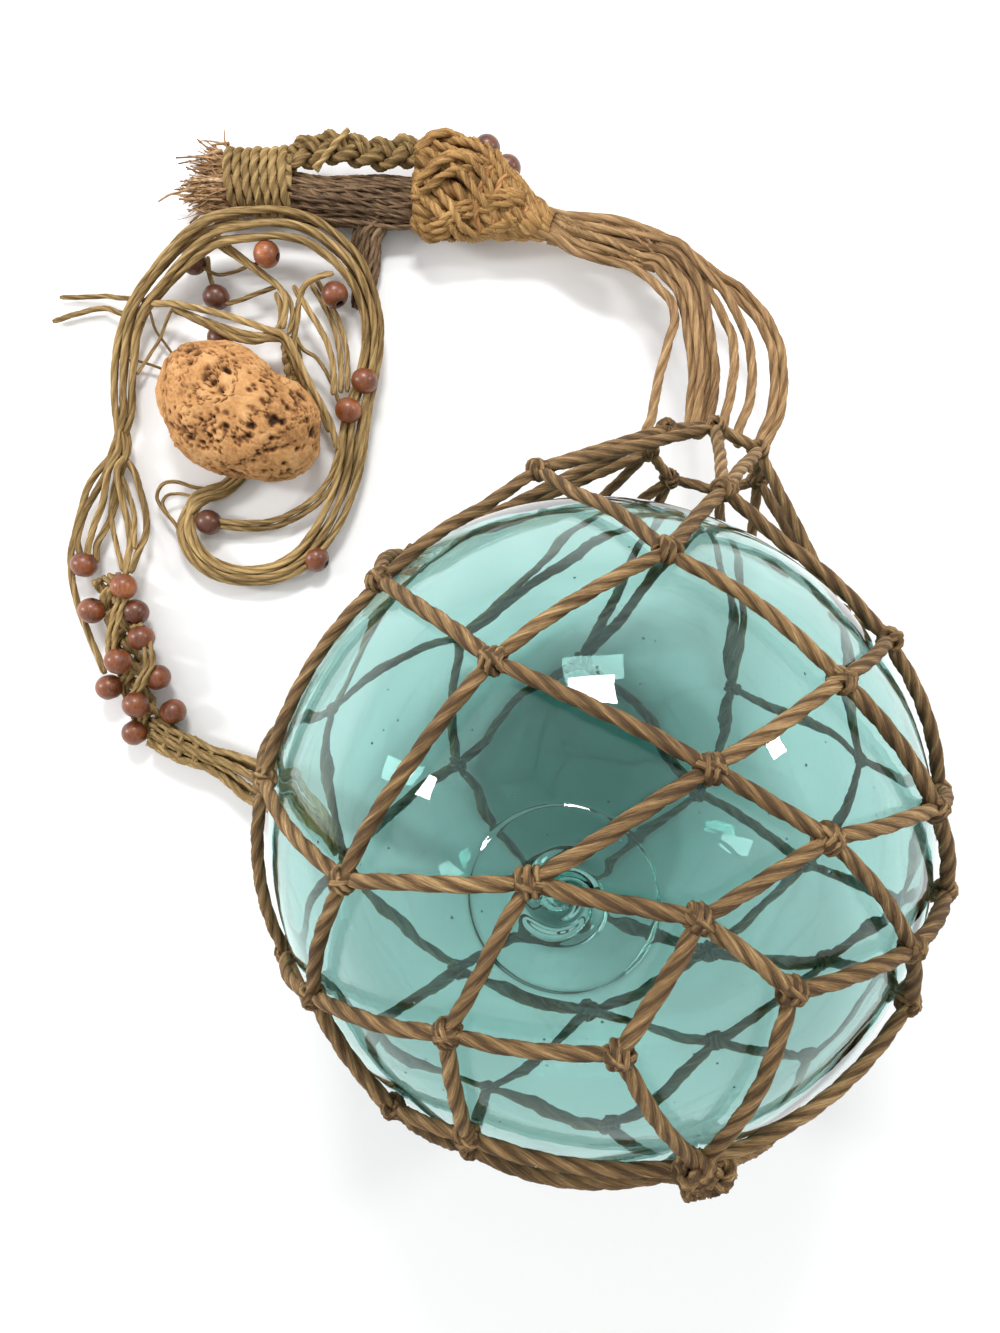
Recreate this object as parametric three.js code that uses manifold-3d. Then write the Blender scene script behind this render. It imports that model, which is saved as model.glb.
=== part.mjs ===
// Glass fishing float in a knotted jute net, with a macrame hanger that carries wooden beads
// and a lump of cork. Everything lies loose on a table: z = 0 is the table, the origin is the
// middle of the small flat that the glass rests on, and the hanger lies towards +Y and -X.
// Millimetres, +Z up.
import * as THREE from 'three';
import { mergeVertices } from 'three/addons/utils/BufferGeometryUtils.js';
import Module from 'manifold-3d';

const wasm = await Module();
wasm.setup();
const { Manifold } = wasm;

// ---- Driving dimensions -------------------------------------------------------------------
const ballRadius = 100;
const flatDepth = 0.8;
const twine = 4.4;            // net twine diameter
const cord = 3.6;             // hanger cord diameter
const beadRadius = 5.4;
const gap = 0.3;              // air kept between pieces that touch
const ballCentre = new THREE.Vector3(0, 0, ballRadius - flatDepth);

// ---- Finishes -----------------------------------------------------------------------------
const finish = (color, roughness, extra = {}) =>
  new THREE.MeshStandardMaterial({ color, roughness, metalness: 0, ...extra });
const glass = finish(0x8fc4bc, 0.05, { transparent: true, opacity: 0.45 });
const netJute = finish(0x96734b, 0.95);
const cordJute = finish(0xa08555, 0.9);
const greyJute = finish(0x84694c, 0.95);
const corkSkin = finish(0xc08c55, 0.95);
const beadWood = finish(0x8a4f35, 0.4);

// ---- Tools --------------------------------------------------------------------------------
const point = ([x, y, z]) => new THREE.Vector3(x, y, z);
const smoothCurve = (route) => new THREE.CatmullRomCurve3(route.map(point), false, 'centripetal');

/** A three.js geometry as a manifold-3d solid, with its shared vertices merged. */
function solid(geometry) {
  geometry.deleteAttribute('normal');
  geometry.deleteAttribute('uv');
  const merged = mergeVertices(geometry, 1e-4);
  return new Manifold(new wasm.Mesh({
    numProp: 3,
    vertProperties: new Float32Array(merged.attributes.position.array),
    triVerts: new Uint32Array(merged.index.array),
  }));
}

/** A manifold-3d solid as a three.js geometry. */
function geometryOf(body) {
  const mesh = body.getMesh();
  const geometry = new THREE.BufferGeometry();
  geometry.setAttribute('position', new THREE.BufferAttribute(new Float32Array(mesh.vertProperties), 3));
  geometry.setIndex(new THREE.BufferAttribute(new Uint32Array(mesh.triVerts), 1));
  geometry.computeVertexNormals();
  return geometry;
}

const group = new THREE.Group();

/** Adds a named piece to the part. */
function add(name, geometry, material) {
  const mesh = new THREE.Mesh(geometry, material);
  mesh.name = name;
  group.add(mesh);
  return mesh;
}

/** A regular polygon as a section to extrude. */
function polygon(radius, sides) {
  const corners = Array.from({ length: sides }, (_, i) => {
    const angle = (i + 0.5) * 2 * Math.PI / sides;
    return new THREE.Vector2(radius * Math.cos(angle), radius * Math.sin(angle));
  });
  return new THREE.Shape(corners);
}

/** A cord: a section with six sides along a smooth curve, a step every two or three diameters. */
function tube(route, diameter, sides = 6) {
  const curve = smoothCurve(route);
  const steps = Math.max(route.length - 1, Math.ceil(curve.getLength() / (3 * diameter)));
  return new THREE.ExtrudeGeometry(polygon(diameter / 2, sides),
    { steps, extrudePath: curve, bevelEnabled: false });
}

/** A knotted length: a straight prism bent along a route, wide and high as profile(t) says, so
 *  its section swells and shrinks from one end (t = 0) to the other (t = 1). */
function knottedLength(route, steps, sides, profile) {
  const curve = smoothCurve(route);
  const geometry = new THREE.ExtrudeGeometry(polygon(1, sides), { depth: 1, steps, bevelEnabled: false });
  const place = geometry.attributes.position;
  for (let i = 0; i < place.count; i++) {
    const t = place.getZ(i);
    const along = curve.getTangentAt(t);
    const across = new THREE.Vector3(-along.y, along.x, 0).normalize();
    const up = new THREE.Vector3().crossVectors(along, across);
    const { wide, high } = profile(t);
    const spot = curve.getPointAt(t)
      .addScaledVector(across, place.getX(i) * wide / 2)
      .addScaledVector(up, place.getY(i) * high / 2);
    place.setXYZ(i, spot.x, spot.y, spot.z);
  }
  return geometry;
}

/** Straight-line values between stations [t, value]. */
function between(stations, t) {
  const last = stations.findIndex(([at]) => at >= t);
  if (last <= 0) return stations[last < 0 ? stations.length - 1 : 0][1];
  const [t0, v0] = stations[last - 1];
  const [t1, v1] = stations[last];
  return v0 + (v1 - v0) * (t - t0) / (t1 - t0);
}

// ---- Beads --------------------------------------------------------------------------------
const bead = (radius) => new THREE.SphereGeometry(radius, 7, 5).rotateX(Math.PI / 2);

/** The hollows that beads at these places press into the cordage, a gap larger than the beads. */
const seatsFor = (places) => {
  const seat = solid(bead(beadRadius + gap));
  return Manifold.union(places.map((spot) => seat.translate(spot)));
};

// ---- Glass float --------------------------------------------------------------------------
// A blown ball, closed at the top with a pressed button of glass. The sealed ball is solid here.
const sealElevation = THREE.MathUtils.degToRad(80.7);
const sealBearing = THREE.MathUtils.degToRad(194);
const sealRadius = 21;
const sealProud = 0.5;

function glassFloat() {
  const ball = solid(new THREE.SphereGeometry(ballRadius, 32, 16).rotateX(Math.PI / 2));
  const top = ballRadius + sealProud;
  const rimDrop = ballRadius - Math.sqrt(ballRadius ** 2 - sealRadius ** 2);
  const profile = [
    [0, top - 12], [sealRadius - 2, top - 12], [sealRadius, top - rimDrop - 1],
    [sealRadius - 1, top - rimDrop + 0.3], [sealRadius * 0.6, top - rimDrop * 0.36],
    [sealRadius * 0.25, top - 0.3], [0, top - 0.6],
  ].map(([x, y]) => new THREE.Vector2(x, y));
  const button = new THREE.LatheGeometry(profile, 12).rotateX(Math.PI / 2)
    .rotateY(Math.PI / 2 - sealElevation).rotateZ(sealBearing);
  return geometryOf(ball.add(solid(button))
    .translate(ballCentre.toArray()).trimByPlane([0, 0, 1], 0));
}

// ---- Net ----------------------------------------------------------------------------------
// Seven meshes round and seven rows of knots, drawn in at a mouth and at a bottom. Rows and
// columns follow the circles round and through those two points, which is how a sleeve of net
// lies on a ball when both its ends are gathered.
const net = {
  meshesRound: 7,
  mouth: new THREE.Vector3(0.085, 0.859, -0.505).normalize(),
  bottom: new THREE.Vector3(0.145, -0.789, 0.597).normalize(),
  rows: [-0.27, 0.29, 0.66, 0.97, 1.14, 1.4, 1.71],   // how far each row lies from the mouth
  lift: [6, 1, 0, 0, 0, 0, 0],                        // how far each row stands off the glass
  firstColumn: THREE.MathUtils.degToRad(174.3),
  lean: -0.038,
  leanPerRow: -0.064,
  hiddenRowShift: -0.25,
  hiddenColumnShift: 0.085,
  footSpread: THREE.MathUtils.degToRad(8),
  footReach: THREE.MathUtils.degToRad(25),
  footClear: THREE.MathUtils.degToRad(21.5),
  // How far single knots were pulled out of their rows, by row and column.
  pulled: {
    '0:13': [3, 0, 4], '0:1': [-12, -4, 14], '1:12': [5, 1, 6], '1:0': [0, -3, 3], '1:2': [-3, 2, 5],
    '2:11': [3, 0, 7], '3:12': [-3, -6, -3], '3:0': [3, 1, 0], '3:2': [1, 2, -2], '4:11': [-2, -2, -4],
    '4:1': [-5, 0, 3], '5:0': [-1, 4, 0], '5:2': [0, -7, -2], '5:10': [6, 2, 9], '6:11': [0, -3, -3],
    '6:13': [6, 2, 1], '6:1': [-5, 2, 2],
  },
};
const twinePath = ballRadius + sealProud + gap + twine / 2 + 0.3;
const down = new THREE.Vector3(0, 0, -1);

/** A direction as a point of the plane, seen from the ball's lowest point, and back. */
const flatten = (v) => [v.x / (1 + v.z), v.y / (1 + v.z)];
const unflatten = ([x, y]) => new THREE.Vector3(2 * x, 2 * y, 1 - x * x - y * y)
  .divideScalar(1 + x * x + y * y);
const times = ([a, b], [c, d]) => [a * c - b * d, a * d + b * c];
const over = (p, [c, d]) => times(p, [c / (c * c + d * d), -d / (c * c + d * d)]);

/** Turns a direction away from the foot, so no twine lies under the flat. */
function clearOfFoot(v) {
  const angle = v.angleTo(down);
  const spread = net.footSpread * Math.exp(-((angle / net.footReach) ** 2));
  const axis = new THREE.Vector3().crossVectors(down, v).normalize();
  return v.clone().applyAxisAngle(axis, spread);
}

/** How far round the back a column lies: 0 in front, 1 at the back. */
const hiddenShare = (column) => ((1 - Math.cos(column * Math.PI / net.meshesRound)) / 2) ** 2;

/** The direction of the net's crossing at a reach from the mouth and at a column. */
function netDirection(reach, row, column) {
  const turn = column * Math.PI / net.meshesRound;
  const hidden = hiddenShare(column);
  const size = Math.exp(reach + (net.lean + net.leanPerRow * (row - 3)) * Math.sin(turn)
    + net.hiddenRowShift * hidden);
  const angle = net.firstColumn + turn + net.hiddenColumnShift * hidden;
  const ratio = [size * Math.cos(angle), size * Math.sin(angle)];
  const [mx, my] = flatten(net.mouth);
  const [bx, by] = times(ratio, flatten(net.bottom));
  return clearOfFoot(unflatten(over([mx - bx, my - by], [1 - ratio[0], -ratio[1]])));
}

/** A knot's place on the ball, measured from the ball's middle. */
function knotPlace(row, column) {
  const stand = twinePath + net.lift[row] * (1 - hiddenShare(column));
  const columns = 2 * net.meshesRound;
  const pull = net.pulled[`${row}:${((column % columns) + columns) % columns}`] ?? [0, 0, 0];
  return netDirection(net.rows[row], row, column).multiplyScalar(stand).add(point(pull)).setLength(stand);
}

const mouthRing = {
  centre: new THREE.Vector3(42, 119, -29),            // from the ball's middle
  facing: new THREE.Vector3(0.25, 0.85, -0.3).normalize(),
  radius: 20,
};
const gather = new THREE.Vector3(0.2, -0.75, 0.62).setLength(twinePath + 2.5);

/** Where a column's top loop hangs on the mouth ring. */
function ringPlace(column) {
  const outward = netDirection(-3, 0, column).sub(net.mouth).projectOnPlane(mouthRing.facing);
  return outward.setLength(mouthRing.radius).add(mouthRing.centre);
}

/** The net's knots and the twines between them: ring, seven rows, and the gathering knot. */
function netPlan() {
  const last = net.rows.length - 1;
  const columns = 2 * net.meshesRound;
  const knots = new Map();
  const twines = [];
  const key = (row, column) => `${row}:${((column % columns) + columns) % columns}`;
  for (let row = -1; row <= last; row++) {
    for (let column = row & 1 ? 0 : 1; column < columns; column += 2) {
      const place = row < 0 ? ringPlace(column) : knotPlace(row, column);
      knots.set(key(row, column), { place, up: place.clone().normalize(), twines: [], size: 5.6 });
      if (row < last) {
        for (const side of [-1, 1]) twines.push([key(row, column), key(row + 1, column + side)]);
      } else twines.push([key(row, column), 'gather']);
      if (row < 0) twines.push([key(row, column), key(row, column + 2)]);
    }
  }
  knots.set('gather', { place: gather, up: gather.clone().normalize(), twines: [], size: 11 });
  return { knots, twines };
}

/** The four corners of a twine's section: right and left below, left and right above. */
function section(middle, along, up, wide = 4.2, high = 4) {
  const left = new THREE.Vector3().crossVectors(up, along).setLength(wide / 2);
  const rise = new THREE.Vector3().crossVectors(along, left).setLength(high / 2);
  return [[-1, -1], [1, -1], [1, 1], [-1, 1]].map(([toLeft, toTop]) =>
    middle.clone().addScaledVector(left, toLeft).addScaledVector(rise, toTop));
}

/** Where twine drawn taut passes: straight where it clears the glass, else laid on it, and a
 *  little above it where the knots are far apart. */
function tautMiddle(a, b) {
  const spot = a.clone().lerp(b, 0.5);
  const clear = 2 * (twinePath - 0.9) / Math.cos(a.angleTo(b) / 4) - twinePath;
  if (spot.length() < twinePath) spot.setLength(Math.max(twinePath, clear));
  const angle = spot.angleTo(down);
  const axis = new THREE.Vector3().crossVectors(down, spot).normalize();
  if (angle < net.footClear) spot.applyAxisAngle(axis, net.footClear - angle);
  const lowest = ballCentre.z - twine / 2 - 0.7;
  return -spot.z > lowest ? spot.multiplyScalar(lowest / -spot.z) : spot;
}

/** One closed skin over all the knots and twines. Each knot is a squat lump with a four-sided
 *  opening for every twine, and each twine is a four-sided sleeve between two openings. */
function knottedNet() {
  const { knots, twines } = netPlan();
  const corners = [];
  const faces = [];
  const put = (spot) => corners.push(spot) - 1;
  const quad = (p, q, r, s) => faces.push(p, q, r, p, r, s);
  for (const [from, to] of twines) {
    const a = knots.get(from);
    const b = knots.get(to);
    const middle = tautMiddle(a.place, b.place);
    const twine = { middle, along: b.place.clone().sub(a.place).normalize() };
    a.twines.push({ twine, end: 'start', along: middle.clone().sub(a.place) });
    b.twines.push({ twine, end: 'finish', along: middle.clone().sub(b.place) });
    twine.up = a.up.clone().add(b.up).normalize();
  }
  for (const { place, up, twines: ends, size } of knots.values()) {
    const east = ends[0].along.clone().projectOnPlane(up).normalize();
    const north = new THREE.Vector3().crossVectors(up, east);
    for (const end of ends) {
      end.flat = end.along.clone().projectOnPlane(up).normalize();
      end.angle = Math.atan2(end.flat.dot(north), end.flat.dot(east));
    }
    ends.sort((p, q) => p.angle - q.angle);
    const rings = ends.map((end) => {
      const ring = section(place.clone().addScaledVector(end.flat, size), end.flat, up).map(put);
      end.twine[end.end] = ring;
      return ring;
    });
    const top = put(place.clone().addScaledVector(up, 3.4));
    const bottom = put(place.clone().addScaledVector(up, -2.2));
    rings.forEach(([rightLow, leftLow, leftHigh, rightHigh], i) => {
      const [nextLow, , , nextHigh] = rings[(i + 1) % rings.length];
      faces.push(top, rightHigh, leftHigh, top, leftHigh, nextHigh);
      faces.push(bottom, leftLow, rightLow, bottom, nextLow, leftLow);
      quad(leftLow, nextLow, nextHigh, leftHigh);
    });
  }
  const sleeves = new Set([...knots.values()].flatMap(({ twines: ends }) => ends.map(({ twine }) => twine)));
  for (const { middle, along, up, start, finish } of sleeves) {
    const half = section(middle, along, up).map(put);
    const [rightLow, leftLow, leftHigh, rightHigh] = finish;
    const far = [leftLow, rightLow, rightHigh, leftHigh];
    for (let i = 0; i < 4; i++) {
      const next = (i + 1) % 4;
      quad(start[i], start[next], half[next], half[i]);
      quad(half[i], half[next], far[next], far[i]);
    }
  }
  const geometry = new THREE.BufferGeometry().setFromPoints(corners);
  geometry.setIndex(faces);
  geometry.translate(...ballCentre.toArray());
  geometry.computeVertexNormals();
  return geometry;
}

add('glass_float', glassFloat(), glass);
add('net', knottedNet(), netJute);

// ---- Hanger: neck -------------------------------------------------------------------------
// The cords leave the mouth ring, drop to the table and draw together into the crown knot.
const neckCords = [
  { name: 'neck_cord_1', wide: cord, high: cord, route: [
    [22, 130, 62], [25, 136, 58], [28.6, 151, 50], [34, 169, 43], [37, 179, 38], [36.3, 186, 35],
    [33.1, 192.2, 31], [29.3, 198, 27]] },
  { name: 'neck_cord_2', wide: 3.1 * cord, high: 6.4, route: [
    [39.5, 129, 61], [42, 135.5, 58], [44.2, 145, 54], [46.1, 156, 48], [45.6, 171, 42], [44.8, 184, 37],
    [43.2, 192, 34], [40.4, 198, 31], [37, 203.4, 28], [34, 207, 25.5]] },
  { name: 'neck_cord_3', wide: cord, high: cord, route: [
    [48.8, 127, 65], [50.6, 134, 60], [53.9, 144.6, 55], [57.1, 158, 48], [57.7, 171, 42], [55.6, 179, 38],
    [52.6, 188.7, 33], [49.3, 196.5, 28.5], [45.2, 203, 24.5], [41.1, 207.3, 21.3], [36.4, 211, 18.8]] },
  { name: 'neck_cord_4', wide: cord, high: cord, route: [
    [54.2, 124.5, 66], [55.6, 131, 60], [60.1, 140, 55], [63.3, 150, 49], [64.7, 165, 42], [63.6, 174, 38],
    [61.2, 182.3, 34], [57.2, 191, 32.5], [52, 197, 32], [48, 202.6, 29.3], [44.6, 208.4, 26.8], [40.8, 213.4, 24.6]] },
  { name: 'neck_cord_5', wide: 1.9 * cord, high: 1.9 * cord, route: [
    [60.5, 117.5, 58], [66.8, 129.4, 51], [72.5, 140.2, 46], [75.4, 153.3, 41], [75.8, 169, 35], [74, 177, 31],
    [71.5, 184.6, 27], [67.3, 190.6, 24], [63.2, 196.5, 21], [56.9, 201, 18.5], [50.8, 207.5, 16],
    [45, 212.3, 14.5], [39.5, 216.8, 14]] },
];
for (const { name, wide, high, route } of neckCords) {
  add(name, knottedLength(route, route.length - 1, 6, () => ({ wide, high })), cordJute);
}

const neckBundleRoute = [[27, 213.5, 20], [19.5, 216, 18.5], [11.5, 218, 17], [1.5, 220.6, 15.5], [-7, 224, 14.5]];
add('neck_bundle', knottedLength(neckBundleRoute, 7, 10, (t) => ({
  wide: between([[0, 23], [0.3, 24.5], [0.6, 21.5], [0.85, 16], [1, 14]], t),
  high: between([[0, 12], [1, 12]], t),
})), cordJute);

// ---- Hanger: knotted crown ----------------------------------------------------------------
const crownRoute = [
  [-8.8, 224.8, 14.5], [-21, 229.3, 14.5], [-31, 233.5, 14.5], [-43, 238.2, 14.5], [-55, 240, 14.5], [-62, 240.6, 14.5],
];
const crownSwell = [[0, 14], [0.22, 18.5], [0.32, 25], [0.42, 33], [0.55, 39], [0.66, 43], [0.8, 45.5], [0.9, 45], [1, 41]];
const crownHeight = [[0, 12], [0.25, 18], [0.5, 25], [0.8, 26], [1, 22]];
const crownBeads = [[-34.3, 255.3, 15], [-26, 248.3, 13]];
const crownBody = solid(knottedLength(crownRoute, 9, 10, (t) => ({
  wide: between(crownSwell, t), high: between(crownHeight, t),
})));
add('crown_knot', geometryOf(crownBody.subtract(seatsFor(crownBeads))), cordJute);

const sinnetRoute = [[-64.5, 254, 15], [-75, 252.5, 15], [-88, 254, 15], [-100, 256, 15], [-112, 254.5, 14]];
add('top_sinnet', knottedLength(sinnetRoute, 8, 8, (t) => ({
  wide: 12 + 2.5 * Math.cos(8 * Math.PI * t), high: 9,
})), cordJute);

const coreRoute = [[-65, 235.5, 9.5], [-75, 236, 9.5], [-90, 236.3, 9.5], [-101, 236.6, 9.5], [-111.5, 237.5, 9.5]];
add('core_bundle', knottedLength(coreRoute, 7, 10, (t) => ({
  wide: between([[0, 20], [0.3, 22.5], [1, 21]], t), high: between([[0, 14], [1, 16]], t),
})), greyJute);

const coreEndRoute = [[-84, 223.5, 7], [-84.2, 217, 5.8], [-84.6, 209, 4.8], [-86, 201, 4.2], [-88, 194.5, 3.8]];
add('core_end', knottedLength(coreEndRoute, 6, 8, (t) => ({
  wide: between([[0, 12], [0.25, 13], [0.6, 12], [0.8, 10], [1, 6]], t), high: between([[0, 10], [0.3, 8], [0.7, 6], [1, 5]], t),
})), greyJute);

const wrapRoute = [[-114, 243.5, 11], [-125, 243.5, 11], [-137.5, 243.5, 11]];
add('tuft_wrap', knottedLength(wrapRoute, 10, 8, (t) => ({
  wide: 27.5 + 1.2 * Math.cos(10 * Math.PI * t), high: 20 + 1.2 * Math.cos(10 * Math.PI * t),
})), cordJute);

const tuftRoute = [[-139.6, 242.5, 11], [-146, 241.5, 11], [-154, 240, 10.5]];
add('frayed_tuft', knottedLength(tuftRoute, 3, 10, (t) => ({
  wide: between([[0, 22], [0.5, 21], [1, 14]], t), high: between([[0, 16], [0.5, 15], [1, 11]], t),
})), cordJute);

// ---- Hanger: hank of cords round the cork -------------------------------------------------
// One wide turn, an upright oval: from the fold beside the cork along the bottom, up the right
// side, over the crown's end, where it rises, and down the left side to the legs.
const hankRoute = [
  [-155.3, 115, 6], [-157.8, 106, 6.3], [-156.5, 98.5, 6.5], [-152, 91.8, 6.5], [-145, 87, 6.5], [-136, 84.8, 6.5],
  [-127, 84.8, 6.5], [-118, 87, 6.5], [-110.5, 91.5, 6.5], [-103, 100, 6.5], [-97, 110, 6.7], [-92.5, 121, 7],
  [-89.5, 133, 7.5], [-88, 145, 8], [-85.5, 157, 8.8], [-82, 170, 9.6], [-80.6, 184, 10.5], [-83, 197, 12],
  [-88, 207.5, 14.5], [-96.3, 215.5, 17], [-105, 220.5, 19.5], [-115.5, 222.6, 21], [-127.2, 222, 21.5],
  [-139.8, 220.8, 20.5], [-150.9, 216.5, 17.5], [-161.5, 209, 13.5], [-170.7, 200.5, 10], [-178.5, 190.5, 8],
  [-181.7, 178, 7], [-183.5, 166, 6.5], [-183.2, 155, 6.3], [-184, 145.5, 6],
];
const hankSpread = [
  [0, 8.5], [0.07, 8.5], [0.14, 7.6], [0.19, 9.5], [0.26, 12], [0.36, 13], [0.4, 11.5], [0.44, 9.8], [0.52, 9.5],
  [0.56, 11.5], [0.65, 14], [0.7, 15.5], [0.76, 14.5], [0.83, 12], [0.87, 10.5], [0.93, 12], [1, 9],
];
const hankBeads = [
  [-154, 212.5, 8.5], [-122, 211.5, 18], [-145.5, 198.8, 6], [-95.6, 197, 13.7],
  [-83.9, 162.8, 12], [-90.4, 150.9, 12], [-148.5, 106.5, 6], [-104.5, 91.5, 5.6],
];
const hankBody = solid(knottedLength(hankRoute, 28, 7, (t) => ({ wide: between(hankSpread, t), high: 7.2 })));
add('cord_hank', geometryOf(hankBody.subtract(seatsFor(hankBeads))), cordJute);

// The fold turns back under the cork, and lighter cords cross the hank's opening.
const hankCords = [
  { name: 'return_cord', swell: [[0, 3], [0.35, 3], [0.5, 4.5], [0.65, 6.5], [1, 7]], high: 3.4, route: [
    [-164.6, 110.5, 6], [-168.8, 116, 6.3], [-168.2, 121, 6], [-163, 122.6, 5.2], [-156.5, 120.7, 4.4],
    [-149, 119.2, 3.4], [-142.5, 121, 2.6], [-138, 125, 2.4]] },
  { name: 'inner_cord', swell: [[0, 4.4], [1, 4.4]], high: 4.4, route: [
    [-142.6, 105.6, 6], [-132, 104.9, 6], [-122, 106, 6], [-113, 110, 6], [-103.3, 118, 6.3]] },
  { name: 'cross_cord_1', swell: [[0, 4.2], [0.16, 9], [0.29, 10.5], [0.4, 9.5], [0.49, 7], [0.56, 5], [1, 4.6]], high: 4.6, route: [
    [-161.5, 193.2, 11.5], [-155.5, 191, 12.8], [-148.5, 188.3, 13.8], [-138.7, 184.8, 14], [-129.8, 181.6, 14.2],
    [-122, 180.9, 14.2], [-116.5, 180, 14.3], [-113, 175.5, 13.5], [-109.2, 167.8, 12.5], [-105.5, 160.3, 11.5],
    [-100.8, 152.6, 10], [-98.4, 147, 9]] },
  { name: 'cross_cord_2', swell: [[0, 4.4], [1, 4.4]], high: cord, route: [
    [-139, 214.5, 12], [-131.8, 209.8, 12.5], [-123.8, 204, 13], [-118, 200, 13.5], [-115, 195, 14.5], [-114.8, 188, 16.5]] },
  { name: 'cross_cord_3', swell: [[0, 3.8], [1, 3.8]], high: cord, route: [
    [-105.5, 201, 9], [-101, 195.5, 6], [-96.5, 186.5, 7], [-93.5, 176.5, 9], [-92.3, 167, 10.5], [-92.5, 159.5, 10]] },
  { name: 'cross_cord_4', swell: [[0, 3.2], [1, 3.2]], high: 3.2, route: [
    [-109.5, 196, 12.5], [-104.5, 188.5, 12.5], [-99.5, 179.5, 12.2], [-97, 172.5, 11.8], [-96.2, 165, 11], [-96.8, 158.5, 10]] },
  { name: 'knotted_cord', swell: [[0, 3.5], [0.25, 4], [0.45, 6], [0.65, 7], [1, 5]], high: 5, route: [
    [-113.8, 176, 6.5], [-113.2, 170, 6], [-112.2, 165.3, 5.5], [-110.8, 160.8, 5.2], [-107.6, 156.4, 5], [-104.6, 152.8, 5]] },
];
for (const { name, swell, high, route } of hankCords) {
  add(name, knottedLength(route, route.length, 6, (t) => ({ wide: between(swell, t), high })), cordJute);
}

const strayEnds = [
  { name: 'stray_end_1', route: [[-184.5, 198.5, 6], [-191, 200, 4], [-200, 200, 3], [-211, 200, 3]] },
  { name: 'stray_end_2', route: [[-184, 192, 6], [-192, 195, 4], [-204, 193, 3], [-214, 190, 3]] },
];
for (const { name, route } of strayEnds) add(name, tube(route, 0.75 * cord), cordJute);

// ---- Cork float ---------------------------------------------------------------------------
// A weathered lump, lobed in plan, flat underneath where it lies.
const cork = { x: -131, y: 149, tall: 38 };

/** The cork's half-breadth in plan at an angle: a round with a few broad lobes. */
const corkReach = (a) => 28.6 - 2.3 * Math.cos(a) - 1.7 * Math.sin(a) + 2.6 * Math.cos(2 * a)
  - 4.5 * Math.sin(2 * a) + 0.7 * Math.cos(3 * a) - 0.4 * Math.sin(3 * a);

function corkLump() {
  const lump = new THREE.SphereGeometry(1, 16, 9).rotateX(Math.PI / 2);
  const place = lump.attributes.position;
  for (let i = 0; i < place.count; i++) {
    const [x, y, z] = [place.getX(i), place.getY(i), place.getZ(i)];
    const angle = Math.atan2(y, x);
    const out = Math.hypot(x, y) ** 0.8;
    const bump = 1 + 0.03 * Math.sin(5 * angle + 4 * z);
    const reach = corkReach(angle) * out * bump;
    place.setXYZ(i, reach * Math.cos(angle), reach * Math.sin(angle), z * cork.tall * 0.56);
  }
  return geometryOf(solid(lump).translate([cork.x, cork.y, cork.tall * 0.5])
    .trimByPlane([0, 0, 1], 0));
}
add('cork_float', corkLump(), corkSkin);

// ---- Hanger: legs, beaded sinnet and tail -------------------------------------------------
const legs = [
  { name: 'leg_cord_1', route: [
    [-186.5, 142, 5], [-188, 131, 5], [-192, 119, 5], [-199, 107, 6], [-203, 98, 7]] },
  { name: 'leg_cord_2', route: [
    [-182.6, 141, 5], [-184, 131, 5], [-187, 119, 5], [-192.5, 106, 6], [-197, 97, 8]] },
  { name: 'leg_cord_3', route: [
    [-178.7, 140.5, 5], [-180, 130, 5], [-181.5, 117, 6], [-182.5, 104, 8], [-181.5, 94, 10], [-181, 85.5, 12]] },
  { name: 'leg_cord_4', route: [
    [-181, 141, 9.5], [-178.5, 130, 9], [-178, 118, 9], [-176, 107, 10], [-174, 97, 12], [-177, 87, 14]] },
];
for (const { name, route } of legs) add(name, tube(route, cord), cordJute);
add('leg_cord_5', tube([[-200, 82.5, 6], [-199, 74, 4], [-196, 64, 4], [-190, 54, 4]], cord), cordJute);

const sinnetBeads = [
  [-199, 89, 7.5], [-180, 79.5, 15], [-177, 69.5, 10], [-194.5, 70, 11], [-174, 59, 12], [-182, 49.5, 16],
  [-168.5, 43, 9], [-188, 39, 9.5], [-175, 32, 15.5], [-162.5, 29, 8], [-178, 20.5, 8],
];
const beadedRoute = [
  [-187, 74, 5.5], [-184, 63, 5.5], [-181.5, 50, 5.5], [-178.5, 38, 5.5], [-173, 26, 6], [-167, 18.5, 7],
];
const beadedBody = solid(knottedLength(beadedRoute, 8, 8, (t) => ({
  wide: between([[0, 11], [0.5, 12], [1, 12]], t), high: 10,
})));
add('beaded_sinnet', geometryOf(beadedBody.subtract(seatsFor(sinnetBeads))), cordJute);

// The tail spreads as it runs in below the ball, then draws together at a knot of the net.
const tailRoute = [
  [-164.6, 17, 7.5], [-159, 14.5, 8], [-150, 11, 8.5], [-140, 7, 9], [-131, 2, 10], [-119, -4, 12],
  [-107, -10, 17], [-97, -16, 26], [-91, -20.5, 36],
];
add('tail_bundle', knottedLength(tailRoute, 10, 8, (t) => ({
  wide: between([[0, 12], [0.08, 13], [0.2, 10], [0.32, 15], [0.42, 20], [0.55, 18], [0.8, 10], [1, 7]], t),
  high: between([[0, 12], [0.2, 10], [0.4, 6], [1, 5]], t),
})), cordJute);

// Beads sit on the hank, beside the sinnet, on the crown and against the cork.
const corkBead = [-144, 182, 5.6];
[...hankBeads, ...sinnetBeads, ...crownBeads, corkBead].forEach(([x, y, z], i) =>
  add(`bead_${i + 1}`, bead(beadRadius).translate(x, y, z), beadWood));

export default group;
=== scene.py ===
"""A glass fishing float in its knotted jute net, with a macrame hanger, beads and cork."""
import math

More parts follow.
